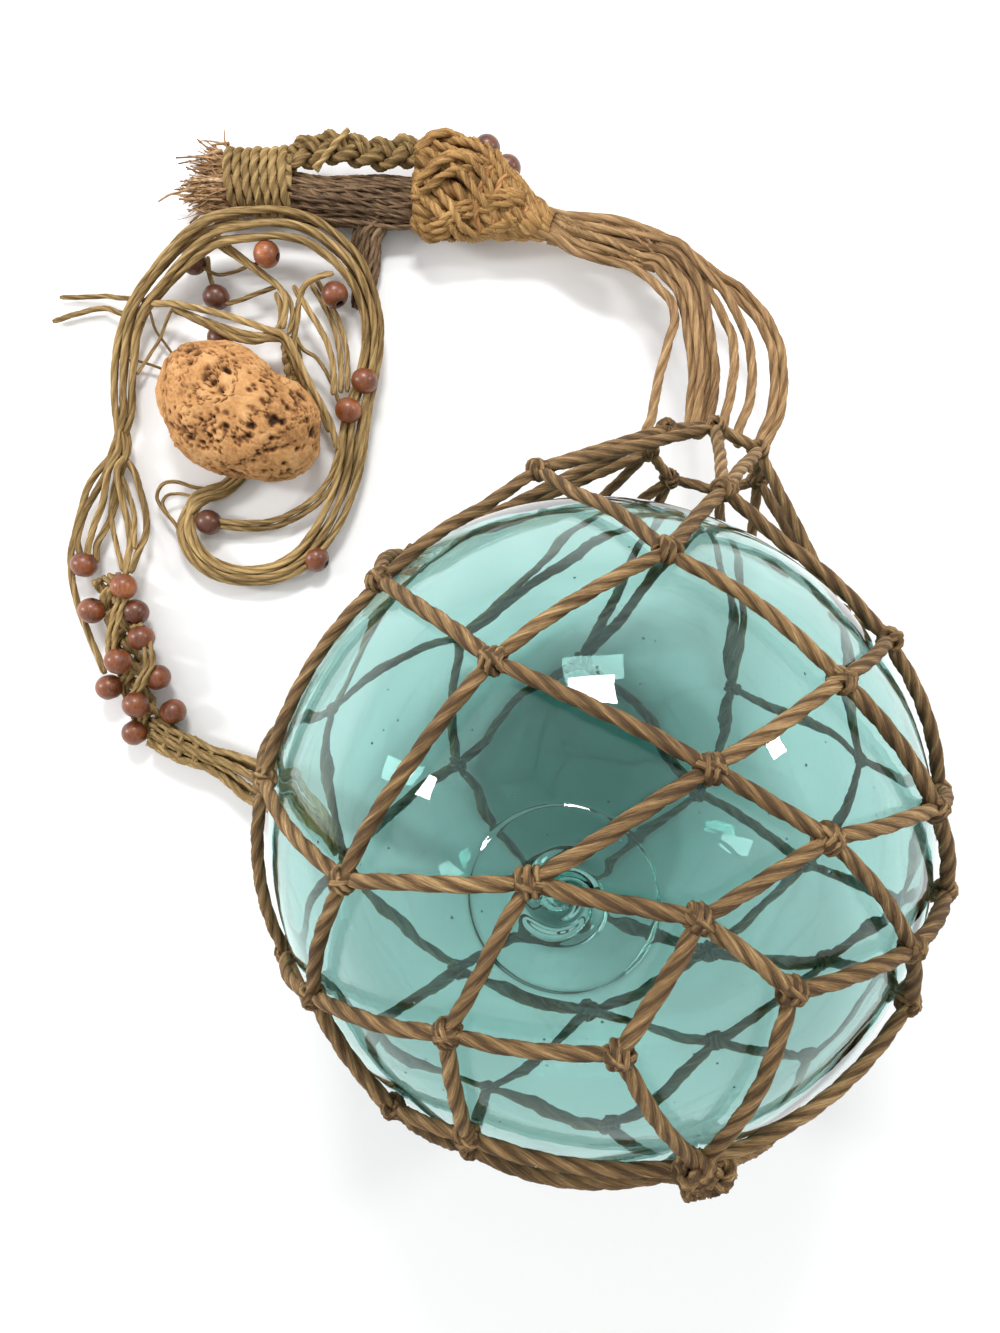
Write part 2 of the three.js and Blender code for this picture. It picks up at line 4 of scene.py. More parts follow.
import bpy
import numpy as np
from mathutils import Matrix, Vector


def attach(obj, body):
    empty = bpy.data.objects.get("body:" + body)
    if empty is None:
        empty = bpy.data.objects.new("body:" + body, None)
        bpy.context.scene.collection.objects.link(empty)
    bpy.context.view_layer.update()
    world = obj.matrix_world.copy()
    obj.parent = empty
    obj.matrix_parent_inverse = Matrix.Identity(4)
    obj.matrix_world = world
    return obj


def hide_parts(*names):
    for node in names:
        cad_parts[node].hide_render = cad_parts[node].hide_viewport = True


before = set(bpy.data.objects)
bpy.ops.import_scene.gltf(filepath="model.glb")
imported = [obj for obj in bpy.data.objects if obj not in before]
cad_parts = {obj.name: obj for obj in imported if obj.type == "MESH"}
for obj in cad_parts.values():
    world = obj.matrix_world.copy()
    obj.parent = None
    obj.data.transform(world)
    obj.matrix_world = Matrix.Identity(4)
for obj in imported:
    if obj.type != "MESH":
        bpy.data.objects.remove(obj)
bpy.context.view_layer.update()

MM = 0.001

# ---- Camera ---------------------------------------------------------------------------------
# It looks straight down on the things laid out on the table.
camera = bpy.data.objects.new("Camera", bpy.data.cameras.new("Camera"))
camera.location = (-29.1 * MM, 47.4 * MM, 416.4 * MM)
camera.data.lens = 27.03
camera.data.clip_start = 0.01
bpy.context.scene.collection.objects.link(camera)
bpy.context.scene.camera = camera

# ---- Neck cords -----------------------------------------------------------------------------
# Ten jute cords are hitched to the mouth of the net, fall to the table in an arc and are drawn
# together into the crown knot. Each is one laid cord, swept along its own route.


def smooth(points, step):
    """A centripetal Catmull-Rom curve through the points, with a point every step along it.

    Each span is blended from its four nearest points, at knots spaced by the square root of the
    distance between them.
    """
    p = np.array(points, float)
    p = np.vstack([2 * p[0] - p[1], p, 2 * p[-1] - p[-2]])
    at = np.concatenate([[0], np.cumsum(np.linalg.norm(np.diff(p, axis=0), axis=1) ** 0.5)])
    spans = []
    for i in range(1, len(p) - 2):
        t = np.linspace(at[i], at[i + 1], 16, endpoint=False)[:, None]
        a = [((at[j + 1] - t) * p[j] + (t - at[j]) * p[j + 1]) / (at[j + 1] - at[j])
             for j in (i - 1, i, i + 1)]
        b = [((at[j + 2] - t) * a[k] + (t - at[j]) * a[k + 1]) / (at[j + 2] - at[j])
             for k, j in enumerate((i - 1, i))]
        spans.append(((at[i + 1] - t) * b[0] + (t - at[i]) * b[1]) / (at[i + 1] - at[i]))
    return even(np.vstack([*spans, p[-2:-1]]), step)


def run_of(path):
    """The length along a path at each of its points."""
    return np.concatenate([[0], np.cumsum(np.linalg.norm(np.diff(path, axis=0), axis=1))])


def sample(at, run, values):
    """Places, or other values in threes, at given lengths along a path."""
    return np.stack([np.interp(at, run, values[:, k]) for k in range(3)], axis=-1)


def even(path, step):
    """The same path with its points step apart."""
    run = run_of(path)
    return sample(np.linspace(0, run[-1], max(4, round(run[-1] / step) + 1)), run, path)


def unit(v):
    """Vectors brought to length one."""
    return v / np.maximum(np.linalg.norm(v, axis=-1, keepdims=True), 1e-9)


def frame_of(path, up=(0, 0, 1)):
    """Along, side and over at each point: along the path, level across it, and upright."""
    along = unit(np.gradient(path, axis=0))
    side = unit(np.cross(np.broadcast_to(np.asarray(up, float), path.shape), along))
    return along, side, np.cross(along, side)


def laid(path, radius, plies=3, pitch=17.0, sides=12, deep=0.45, begin=0.0, flat=1.0,
         up=(0, 0, 1), shade=0.5, lay=0.75):
    """One laid cord round a path: its points, faces, fibre coordinates and tones.

    The section is as many circles as there are plies, set round the middle, and it turns once
    in every pitch. Fibre coordinates are the place across the cord, turned with the lay, and
    the length along it. Tones are how deep a point lies between two plies, where painted shade
    goes, and the cord's shade.
    """
    path = np.asarray(path, float)
    _, side, over = frame_of(path, up)
    run = run_of(path)[:, None]
    radius = np.broadcast_to(np.asarray(radius, float), (len(path),))[:, None]
    around = np.arange(sides) * 2 * np.pi / sides
    nearest = ((around * plies / (2 * np.pi) + 0.5) % 1 - 0.5) * 2 * np.pi / plies
    middle, ply = deep / (1 + deep), 1 / (1 + deep)
    shape = middle * np.cos(nearest) + np.sqrt(ply ** 2 - (middle * np.sin(nearest)) ** 2)
    turn = begin + 2 * np.pi * run / pitch
    angle = around + turn
    out = radius * shape
    skin = (path[:, None] + (out * np.cos(angle))[..., None] * side[:, None]
            + (out * np.sin(angle) * flat)[..., None] * over[:, None])
    streak = around + (1 - lay) * turn + begin
    fibre = np.stack([out * np.cos(streak), out * np.sin(streak), run + 0 * out], axis=-1)
    groove = np.broadcast_to((shape.max() - shape) / max(np.ptp(shape), 1e-6), out.shape)
    tone = np.stack([groove, np.full(out.shape, shade), 0 * out], axis=-1)
    rows = len(path)
    here = np.arange(rows - 1)[:, None] * sides + np.arange(sides)
    beside = np.arange(rows - 1)[:, None] * sides + (np.arange(sides) + 1) % sides
    quads = np.stack([here, beside, beside + sides, here + sides], axis=-1).reshape(-1, 4)
    first, last = rows * sides, rows * sides + 1
    ring = np.arange(sides)
    top = (rows - 1) * sides
    ends = np.vstack([
        np.column_stack([(ring + 1) % sides, ring, np.full(sides, first)]),
        np.column_stack([top + ring, top + (ring + 1) % sides, np.full(sides, last)])])
    points = np.vstack([skin.reshape(-1, 3), path[:1], path[-1:]])
    fibre = np.vstack([fibre.reshape(-1, 3), [[0, 0, 0]], [[0, 0, run[-1, 0]]]])
    tone = np.vstack([tone.reshape(-1, 3), [[0.5, shade, 0]], [[0.5, shade, 0]]])
    return points, quads, ends, fibre, tone


def piece(name, skins, material, nodes):
    """One piece of the object from any number of skins, in place of the nodes that it stands for."""
    starts = np.cumsum([0] + [len(skin[0]) for skin in skins])
    corners = [(skin[k] + start) for k in (1, 2) for skin, start in zip(skins, starts) if len(skin[k])]
    sizes = np.concatenate([np.full(len(c), c.shape[1]) for c in corners])
    loops = np.concatenate([c.ravel() for c in corners])
    mesh = bpy.data.meshes.new(name)
    mesh.vertices.add(starts[-1])
    mesh.vertices.foreach_set("co", np.vstack([skin[0] for skin in skins]).ravel() * MM)
    mesh.loops.add(len(loops))
    mesh.loops.foreach_set("vertex_index", loops.astype(np.int32))
    mesh.polygons.add(len(sizes))
    mesh.polygons.foreach_set("loop_start", np.concatenate([[0], np.cumsum(sizes)[:-1]]).astype(np.int32))
    mesh.polygons.foreach_set("use_smooth", np.ones(len(sizes), bool))
    for k, name_of in ((3, "fibre"), (4, "tone")):
        if len(skins[0]) > k:
            values = mesh.attributes.new(name_of, "FLOAT_VECTOR", "POINT")
            values.data.foreach_set("vector", np.vstack([skin[k] for skin in skins]).ravel())
    mesh.update(calc_edges=True)
    mesh.validate()
    mesh.materials.append(material)
    made = bpy.data.objects.new(name, mesh)
    bpy.context.scene.collection.objects.link(made)
    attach(made, "root")
    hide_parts(*nodes)
    return made


def linear(red, green, blue):
    """A colour in everyday 0 to 255 numbers as the renderer's linear one."""
    share = np.array([red, green, blue]) / 255
    return (*np.where(share > 0.04045, ((share + 0.055) / 1.055) ** 2.4, share / 12.92), 1.0)


def put(tree, kind, inputs=None, **settings):
    """A node in a tree, with its settings, and its inputs given values or joined to sockets."""
    node = tree.nodes.new(kind)
    for name, value in settings.items():
        setattr(node, name, value)
    for name, value in (inputs or {}).items():
        if isinstance(value, bpy.types.NodeSocket):
            tree.links.new(value, node.inputs[name])
        else:
            node.inputs[name].default_value = value
    return node


def group_of(name, inputs, outputs):
    """An empty node group with named inputs and outputs, and its two end nodes."""
    tree = bpy.data.node_groups.new(name, "ShaderNodeTree")
    for label, kind, value in inputs:
        socket = tree.interface.new_socket(label, in_out="INPUT", socket_type=kind)
        socket.default_value = value
    for label, kind in outputs:
        tree.interface.new_socket(label, in_out="OUTPUT", socket_type=kind)
    return tree, tree.nodes.new("NodeGroupInput"), tree.nodes.new("NodeGroupOutput")


def stored(tree, name):
    """Values stored on the mesh, as a socket."""
    return put(tree, "ShaderNodeAttribute", attribute_name=name).outputs["Vector"]


def stored_tone(tree):
    """The mesh's stored tones as two sockets: painted shade in grooves, pits and bead holes, and each piece's
    own shade or swelling.
    """
    return put(tree, "ShaderNodeSeparateXYZ", {"Vector": stored(tree, "tone")}).outputs[:2]


def noise(tree, place, scale, detail, roughness=0.5, distortion=0.0):
    """Noise over a place, as a socket."""
    return put(tree, "ShaderNodeTexNoise", {
        "Vector": place, "Scale": scale, "Detail": detail, "Roughness": roughness,
        "Distortion": distortion}).outputs["Fac"]


def stretched(tree, place, length_scale):
    """A place drawn out along a cord or a grain."""
    return put(tree, "ShaderNodeMapping", {"Vector": place, "Scale": (1, 1, length_scale)}).outputs["Vector"]


def sum_of(tree, *terms):
    """A weighted sum: each term is (socket, factor), and a bare number is added."""
    total = None
    for term in terms:
        if not isinstance(term, tuple):
            total = put(tree, "ShaderNodeMath", {0: total, 1: term}, operation="ADD").outputs[0]
            continue
        part = put(tree, "ShaderNodeMath", {0: term[0], 1: term[1]}, operation="MULTIPLY").outputs[0]
        total = part if total is None else put(
            tree, "ShaderNodeMath", {0: total, 1: part}, operation="ADD").outputs[0]
    return total


def finish(name, values):
    """A material with plain values on its shader, and its node tree and shader."""
    material = bpy.data.materials.new(name)
    material.use_nodes = True
    shader = material.node_tree.nodes["Principled BSDF"]
    for label, value in values.items():
        shader.inputs[label].default_value = value
    return material, material.node_tree, shader


def grouped(name, values, group, group_values):
    """A material whose colour and relief come from a node group, given its own values."""
    material, tree, shader = finish(name, values)
    looks = put(tree, "ShaderNodeGroup", node_tree=group)
    for label, value in group_values.items():
        looks.inputs[label].default_value = value
    for socket in looks.outputs:
        tree.links.new(socket, shader.inputs["Base Color" if socket.name == "Color" else socket.name])
    return material


# Jute fibres: streaks along the cord, coarse and fine, with painted shade darkening them
# between plies, each cord's own shade and slow weathering over the whole object.
jute_fibres, jute_in, jute_out = group_of("Jute fibres", [
    ("Dark", "NodeSocketColor", (0.1, 0.05, 0.02, 1)), ("Middle", "NodeSocketColor", (0.3, 0.2, 0.1, 1)),
    ("Light", "NodeSocketColor", (0.5, 0.35, 0.2, 1)), ("Coarse", "NodeSocketFloat", 1.2),
    ("Fine", "NodeSocketFloat", 4.5), ("Groove", "NodeSocketFloat", 0.35),
    ("Relief", "NodeSocketFloat", 0.6)],
    [("Color", "NodeSocketColor"), ("Normal", "NodeSocketVector")])
in_groove, cord_shade = stored_tone(jute_fibres)
along_fibres = stretched(jute_fibres, stored(jute_fibres, "fibre"), 0.06)
coarse = noise(jute_fibres, along_fibres, jute_in.outputs["Coarse"], 3.0, 0.6, 0.4)
fine = noise(jute_fibres, along_fibres, jute_in.outputs["Fine"], 2.0, 0.65)
weather = noise(jute_fibres, put(jute_fibres, "ShaderNodeTexCoord").outputs["Object"], 55.0, 2.0)
# Painted shade: the colour darkens where a point lies deep between two plies.
groove_painted_shade = sum_of(jute_fibres, (in_groove, jute_in.outputs["Groove"]))
lightness = sum_of(jute_fibres, (coarse, 1.5), (fine, 1.1), (weather, 0.7), (cord_shade, 0.5),
                   (groove_painted_shade, -1.0), -1.4)
fibre_colour = jute_in.outputs["Dark"]
for start, brighter in ((0.0, "Middle"), (0.5, "Light")):
    brightening = put(jute_fibres, "ShaderNodeMapRange", {
        "Value": lightness, "From Min": start, "From Max": start + 0.5})
    fibre_colour = put(jute_fibres, "ShaderNodeMix", {
        0: brightening.outputs["Result"], 6: fibre_colour, 7: jute_in.outputs[brighter]},
        data_type="RGBA").outputs[2]
fibre_bump = put(jute_fibres, "ShaderNodeBump", {
    "Height": sum_of(jute_fibres, (coarse, 0.8), (fine, 0.5)), "Strength": jute_in.outputs["Relief"],
    "Distance": 0.5 * MM})
jute_fibres.links.new(fibre_colour, jute_out.inputs["Color"])
jute_fibres.links.new(fibre_bump.outputs["Normal"], jute_out.inputs["Normal"])


def jute(name, dark, middle, light, roughness=0.85, **values):
    """A jute finish with its own three colours."""
    colours = {"Dark": linear(*dark), "Middle": linear(*middle), "Light": linear(*light)}
    return grouped(name, {"Roughness": roughness, "Specular IOR Level": 0.3}, jute_fibres,
                   {**colours, **values})


neck_jute = jute("Neck jute", (92, 66, 40), (150, 118, 80), (196, 162, 118))
hank_jute = jute("Hank jute", (98, 76, 42), (158, 130, 84), (206, 176, 122))


def lay_cord(name, points, diameter, nodes, pitch, shade, begin, material=hank_jute):
    """One free cord through points in millimetres, a little flattened and tapered at its ends."""
    path = smooth(points, 1.1)
    run = run_of(path)
    taper = np.interp(run, [0, 1.5, run[-1] - 1.5, run[-1]], [0.6, 1, 1, 0.6])
    made = piece(name, [laid(path, diameter / 2 * taper, pitch=pitch, begin=begin, shade=shade, flat=0.88)],
                 material, nodes)


neck_diameter = 3.8
neck_routes = {
    "neck_cord_1": [[22, 130, 62], [25, 136, 58], [28.6, 151, 50], [34, 169, 43], [37, 179, 38],
                    [36.3, 186, 35], [33.1, 192.2, 31], [29.3, 198, 27]],
    "neck_cord_2": [[39.5, 129, 61], [42, 135.5, 58], [44.2, 145, 54], [46.1, 156, 48], [45.6, 171, 42],
                    [44.8, 184, 37], [43.2, 192, 34], [40.4, 198, 31], [37, 203.4, 28], [34, 207, 25.5]],
    "neck_cord_3": [[48.8, 127, 65], [50.6, 134, 60], [53.9, 144.6, 55], [57.1, 158, 48], [57.7, 171, 42],
                    [55.6, 179, 38], [52.6, 188.7, 33], [49.3, 196.5, 28.5], [45.2, 203, 24.5],
                    [41.1, 207.3, 21.3], [36.4, 211, 18.8]],
    "neck_cord_4": [[54.2, 124.5, 66], [55.6, 131, 60], [60.1, 140, 55], [63.3, 150, 49], [64.7, 165, 42],
                    [63.6, 174, 38], [61.2, 182.3, 34], [57.2, 191, 32.5], [52, 197, 32], [48, 202.6, 29.3],
                    [44.6, 208.4, 26.8], [40.8, 213.4, 24.6]],
    "neck_cord_5": [[60.5, 117.5, 58], [66.8, 129.4, 51], [72.5, 140.2, 46], [75.4, 153.3, 41],
                    [75.8, 169, 35], [74, 177, 31], [71.5, 184.6, 27], [67.3, 190.6, 24], [63.2, 196.5, 21],
                    [56.9, 201, 18.5], [50.8, 207.5, 16], [45, 212.3, 14.5], [39.5, 216.8, 14]],
}
# Each cord: the route it keeps to, how far beside and above it, and its shade.
neck_cords = [
    ("neck_cord_1", 0.0, 0.0, 0.55), ("neck_cord_2", -4.3, -1.0, 0.4), ("neck_cord_2", -1.5, 1.4, 0.55),
    ("neck_cord_2", 1.6, -1.4, 0.3), ("neck_cord_2", 4.2, 0.8, 0.2), ("neck_cord_3", 0.0, 0.0, 0.6),
    ("neck_cord_4", 0.0, 0.0, 0.65), ("neck_cord_5", -1.9, 0.8, 0.75), ("neck_cord_5", 1.9, 0.4, 0.6),
    ("neck_cord_5", 0.0, -2.2, 0.35),
]
for i, (route, beside, above, shade) in enumerate(neck_cords):
    kept = np.array(neck_routes[route], float)
    _, side, _ = frame_of(kept)
    spread = np.interp(np.linspace(0, 1, len(kept)), [0, 0.15, 0.9, 1], [0.35, 0.9, 1, 0.8])[:, None]
    kept = kept - side * beside * spread + np.array([0, 0, above]) * spread
    lane = i - 4.5
    deep = 2.2 * (-1) ** i
    drawn_in = [[22, 215.2 + 2.1 * lane, 18.5 + deep], [11, 218.2 + 2.05 * lane, 17 + deep],
                [1.5, 220.6 + 1.75 * lane, 15.5 + deep], [-7, 224 + 1.2 * lane, 14.5 + 1.2 * deep],
                [-18, 228 + 1.2 * lane, 14.5 + deep]]
    lay_cord(f"neck_strand_{i + 1}", np.vstack([kept, drawn_in]), neck_diameter,
             [route, "neck_bundle"], 46.0, shade, 1.7 * i, material=neck_jute)

# ---- Hank, legs and loose ends --------------------------------------------------------------
# Six longer cords come up from the beaded sinnet, turn once round the cork as a loose hank and
# fold back under it. Shorter ones cross inside the hank, and two frayed ends stick out.
hank_diameter = 3.0
hank_route = [
    [-155.3, 115, 6], [-157.8, 106, 6.3], [-156.5, 98.5, 6.5], [-152, 91.8, 6.5], [-145, 87, 6.5],
    [-136, 84.8, 6.5], [-127, 84.8, 6.5], [-118, 87, 6.5], [-110.5, 91.5, 6.5], [-103, 100, 6.5],
    [-97, 110, 6.7], [-92.5, 121, 7], [-89.5, 133, 7.5], [-88, 145, 8], [-85.5, 157, 8.8], [-82, 170, 9.6],
    [-80.6, 184, 10.5], [-83, 197, 12], [-88, 207.5, 14.5], [-96.3, 215.5, 17], [-105, 220.5, 19.5],
    [-115.5, 222.6, 21],
    [-127.2, 222, 21.5], [-139.8, 220.8, 20.5], [-150.9, 216.5, 17.5], [-161.5, 209, 13.5],
    [-170.7, 200.5, 10], [-178.5, 190.5, 8], [-181.7, 178, 7], [-183.5, 166, 6.5], [-183.2, 155, 6.3],
    [-184, 145.5, 6],
]
hank_spread = [
    [0, 8.5], [0.07, 8.5], [0.14, 7.6], [0.19, 9.5], [0.26, 12], [0.36, 13], [0.4, 11.5], [0.44, 9.8],
    [0.52, 9.5], [0.56, 11.5], [0.65, 14], [0.7, 15.5], [0.76, 14.5], [0.83, 12], [0.87, 10.5],
    [0.93, 12], [1, 9],
]
hank_line = smooth(hank_route, 1.0)
hank_share = run_of(hank_line) / run_of(hank_line)[-1]


def on_hank(share, outward, upward):
    """Places beside the hank's middle line: how far along it, out across it and up."""
    _, side, _ = frame_of(hank_line)
    return (sample(share, hank_share, hank_line) - sample(share, hank_share, side) * outward[:, None]
            + np.array([0, 0, 1]) * upward[:, None])


# The six legs, from the sinnet up to the trunk where they twist together.
legs = [
    [[-191.4, 44.5, 5], [-197, 57, 4], [-201, 67, 4], [-204, 78, 5], [-205.5, 92, 5], [-202, 107, 6],
     [-197, 123, 6]],
    [[-200, 90, 6], [-202.3, 98, 6], [-201.5, 105, 5.5], [-198, 114, 5.5], [-191, 125, 7]],
    [[-197, 90, 9], [-197, 97, 8], [-195, 104, 8], [-191, 115, 8], [-189, 127, 8]],
    [[-194, 90, 7], [-194.5, 97, 6], [-192.3, 102, 5], [-188, 112, 4.5], [-186, 124, 4.5]],
    [[-180, 84, 13], [-180, 91, 11], [-180, 98, 8], [-181.5, 105, 6], [-184, 116, 6], [-185, 128, 9]],
    [[-178, 85, 13], [-176, 93, 11], [-174, 100, 8], [-174, 108, 6], [-176, 116, 5], [-179, 127, 6]],
]
leg_shades = [0.5, 0.3, 0.6, 0.45, 0.7, 0.35]
hank_nodes = ["cord_hank", *(f"leg_cord_{k}" for k in range(1, 6)), "return_cord"]
turns_round = np.linspace(0.985, 0.035, 30)
for i, leg in enumerate(legs):
    phase = i * 2 * np.pi / 6 + 0.3
    twist = phase + 3.2 * (1 - turns_round)
    swell = np.interp(turns_round, *np.transpose(hank_spread)) / 2 - 1.5
    outward = -swell * np.cos(twist) + 0.4 * np.sin(11 * turns_round + i)
    hoop_part = on_hank(turns_round, outward, 1.9 * np.sin(twist))
    trunk = [[-184.5 - 3.2 * np.cos(phase - 0.9), 136, 6.5 + 1.8 * np.sin(phase - 0.9)]]
    lane = 2.1 * (i % 3 - 1)
    up = 1.1 * (i // 3)
    fold = [[-154.4 + 0.5 * lane, 114.4 - 0.7 * lane, 5.2 + up], [-149.5, 118 - lane, 4.4 + up],
            [-143.5, 120.2 - lane, 3.4 + up], [-138.5 + 0.5 * lane, 124.3 - 0.8 * lane, 2.8 + up],
            [-134.5 + lane, 130, 2.4 + up]]
    lay_cord(f"hank_strand_{i + 1}", np.vstack([leg, trunk, hoop_part, fold]), hank_diameter, hank_nodes,
             38.0, leg_shades[i], 0.9 * i)

# The shorter cords: each has its diameter, the node it stands for, its shade and its route.
thin = 2.3
crossing = {
    "leg_strand_7": (thin, "leg_cord_3", 0.5, [
        [-181.5, 86, 12], [-184, 92, 9], [-187, 100, 6], [-189, 110, 5], [-188, 121, 4.5],
        [-186, 131, 4.5]]),
    "leg_strand_8": (thin, "leg_cord_4", 0.6, [
        [-176.5, 95, 12], [-178, 102, 9], [-179, 109, 6], [-181.5, 117, 4.5], [-185, 127, 5],
        [-186, 135, 6]]),
    "loop_twine_1": (1.7, "return_cord", 0.1, [
        [-158.5, 98, 6], [-160.5, 103, 6.2], [-163.5, 107.5, 6.3], [-167, 111.5, 6.5], [-169.6, 117, 6.5],
        [-167.6, 122, 6], [-162.5, 123.3, 5.5], [-156, 121.4, 5], [-149, 120.5, 4.5], [-143, 122.5, 3.8]]),
    "loop_twine_2": (1.4, "return_cord", 0.2, [
        [-159.5, 101, 6.4], [-162.5, 106, 6.6], [-165.5, 110.5, 6.8], [-167.3, 114.4, 6.6],
        [-165.3, 117.6, 6.2], [-161, 118.3, 5.8], [-156, 117.5, 5.6], [-150, 118, 5.2], [-144, 120.6, 4.6]]),
    "inner_strand_1": (2.6, "inner_cord", 0.55, [
        [-145.5, 107, 7], [-139, 106.5, 6.8], [-132, 106.2, 6.5], [-122, 107.2, 6.5], [-113, 111, 6.5],
        [-104, 117.6, 6.7], [-98, 126, 7], [-94.5, 138, 7.5], [-92.5, 149, 8]]),
    "inner_strand_2": (2.6, "inner_cord", 0.35, [
        [-145.5, 105, 6], [-139, 104.5, 5.5], [-132, 104, 5], [-121.5, 105, 5], [-112, 109, 5],
        [-102.8, 115.6, 5.2], [-96, 124.5, 5.6], [-92, 136, 6], [-90, 149, 7]]),
    "cross_strand_1": (3.0, "cross_cord_1", 0.85, [
        [-170.3, 194.4, 10.5], [-161.4, 194, 12.4], [-155.4, 192.4, 14], [-148.5, 190.7, 14.8],
        [-138.7, 188.2, 14.8], [-129, 185, 14.8], [-121, 182.2, 14.8], [-116, 180.6, 14.8],
        [-112.3, 175.2, 13.9], [-108.9, 167.8, 12.9], [-105.2, 160.2, 11.7], [-100.9, 152.5, 10.3],
        [-97.6, 145, 9], [-95.5, 136, 8]]),
    "cross_strand_2": (2.9, "cross_cord_1", 0.25, [
        [-162, 192.4, 11], [-155.5, 189.3, 12], [-148.5, 185.6, 13.2], [-141, 181.9, 13.6],
        [-133.5, 179, 13.6], [-127.5, 178.4, 13.6], [-121.5, 179.4, 13.6], [-116.5, 178.9, 12.8],
        [-113.4, 173.2, 11.8], [-110.2, 166, 11.2], [-106.4, 158.2, 10.4], [-101.6, 150.4, 9.2],
        [-98.6, 143, 8.4]]),
    "cross_strand_3": (2.6, "cross_cord_2", 0.7, [
        [-146, 218.5, 17], [-139.5, 215, 13.5], [-131.5, 209.8, 12.8], [-123.8, 204.4, 13],
        [-118, 200, 13.6], [-115.2, 194.5, 14.6], [-115.2, 187.5, 15.6], [-115.8, 182.5, 16.6]]),
    "cross_strand_4": (2.6, "cross_cord_3", 0.6, [
        [-96, 205.4, 14.6], [-102.4, 203.9, 14], [-107.8, 200.7, 13.2], [-110.2, 194, 12.8],
        [-111, 186.5, 12.6], [-112.3, 180, 12], [-111.5, 172.5, 10.6], [-108.6, 165, 9.6]]),
    "cross_strand_5": (2.6, "cross_cord_3", 0.7, [
        [-106, 203, 9.5], [-101.4, 195.8, 6.2], [-97.2, 186.8, 7], [-94.6, 176.8, 8.8], [-93.6, 167, 9.8],
        [-93.8, 158.5, 9.8]]),
    "cross_strand_6": (1.8, "cross_cord_4", 0.1, [
        [-112.6, 182, 12], [-108.5, 175.6, 11.5], [-103.5, 172.4, 11], [-99.5, 166.5, 10.5],
        [-96.4, 160, 9.8], [-94.4, 154, 9]]),
    "cross_strand_7": (2.4, "cross_cord_3", 0.5, [
        [-104, 205, 11], [-99.4, 197.3, 6.6], [-94.6, 187.4, 7.2], [-91.8, 177.4, 8.8], [-91, 168, 9.4],
        [-91.2, 159, 9.4]]),
    "cross_strand_8": (2.8, "cross_cord_1", 0.45, [
        [-160, 192, 10.6], [-152, 188.5, 12.2], [-144, 185.4, 13], [-135, 182.4, 13.2],
        [-127, 180.8, 13.4], [-120.5, 181.6, 13], [-117.4, 186, 13.2], [-117.4, 192, 13.4],
        [-119.4, 198, 13]]),
    "cross_strand_9": (2.4, "cross_cord_2", 0.45, [
        [-142.4, 219.6, 18], [-136, 214.4, 14.4], [-128.5, 208.8, 13.4], [-121, 203.2, 12.4],
        [-116, 198.2, 12.2], [-113, 192.5, 12.8], [-112.8, 186, 14], [-113.6, 180.6, 16]]),
    "cross_strand_10": (2.8, "cross_cord_4", 0.65, [
        [-112.4, 201, 12.8], [-109.4, 195.8, 12.5], [-104.6, 188.4, 12.5], [-99.5, 179.5, 12.2],
        [-97.2, 172.5, 11.8], [-96.4, 165, 11], [-96.8, 157.5, 10]]),
    "dark_twine_1": (2.1, "cross_cord_2", 0.0, [
        [-147.6, 214, 10], [-148, 209, 8], [-147, 204.6, 7], [-145.8, 200, 6.4], [-142, 196.2, 6.6],
        [-136, 196.8, 7.6], [-127, 199.6, 9], [-119.5, 201.5, 10.5]]),
    "dark_twine_2": (1.6, "cross_cord_2", 0.0, [
        [-152, 211, 9.5], [-148, 208.6, 8.5], [-143.5, 207.2, 8.2], [-137, 208.2, 8.8], [-130, 210.4, 10],
        [-122.5, 211.6, 11.4]]),
    "side_twine_1": (1.5, "cross_cord_1", 0.6, [
        [-162, 193, 10], [-165.4, 188.5, 7.5], [-168.6, 182.7, 5], [-173.7, 174.5, 5], [-178, 167, 6]]),
    "side_twine_2": (1.2, "cross_cord_1", 0.0, [
        [-172, 193, 8], [-171, 186.5, 5.2], [-168.3, 182, 4], [-165, 177.5, 3.5], [-161, 171.5, 3.5],
        [-157, 167, 4], [-153, 163, 5]]),
    "side_twine_3": (1.2, "cross_cord_1", 0.0, [
        [-184, 173, 6], [-178, 173, 4.8], [-173.7, 171.9, 4.2], [-168.5, 170.2, 3.6],
        [-163.6, 168.5, 3.4], [-158, 165, 3.6], [-153, 162, 5]]),
    "stray_strand_1": (2.2, "stray_end_1", 0.2, [
        [-172, 196, 9], [-178, 197.5, 8], [-184.5, 198.5, 6], [-191, 200, 4], [-200, 200, 3],
        [-211, 200, 2.6]]),
    "stray_strand_2": (2.4, "stray_end_2", 0.3, [
        [-174, 188.5, 8.5], [-179, 190.5, 7.5], [-184, 192, 6], [-192, 195, 4], [-204, 193, 3],
        [-214, 190, 2.6]]),
}
for i, (name, (diameter, node, shade, points)) in enumerate(crossing.items()):
    lay_cord(name, points, diameter, [node], 26.0, shade, 0.7 * i)

# ---- Knotted crown --------------------------------------------------------------------------
# The neck cords enter a swollen knot, plaited over and under in bands of three cords and bound
# with turns of cord at its narrow end. A core of cordage fills it.
crown_jute = jute("Crown jute", (104, 74, 38), (172, 132, 80), (212, 172, 114))
bound_jute = jute("Bound jute", (116, 78, 42), (186, 134, 84), (214, 166, 112))
core_jute = jute("Core jute", (70, 52, 36), (124, 98, 72), (158, 130, 100), Groove=0.5, Relief=0.9)


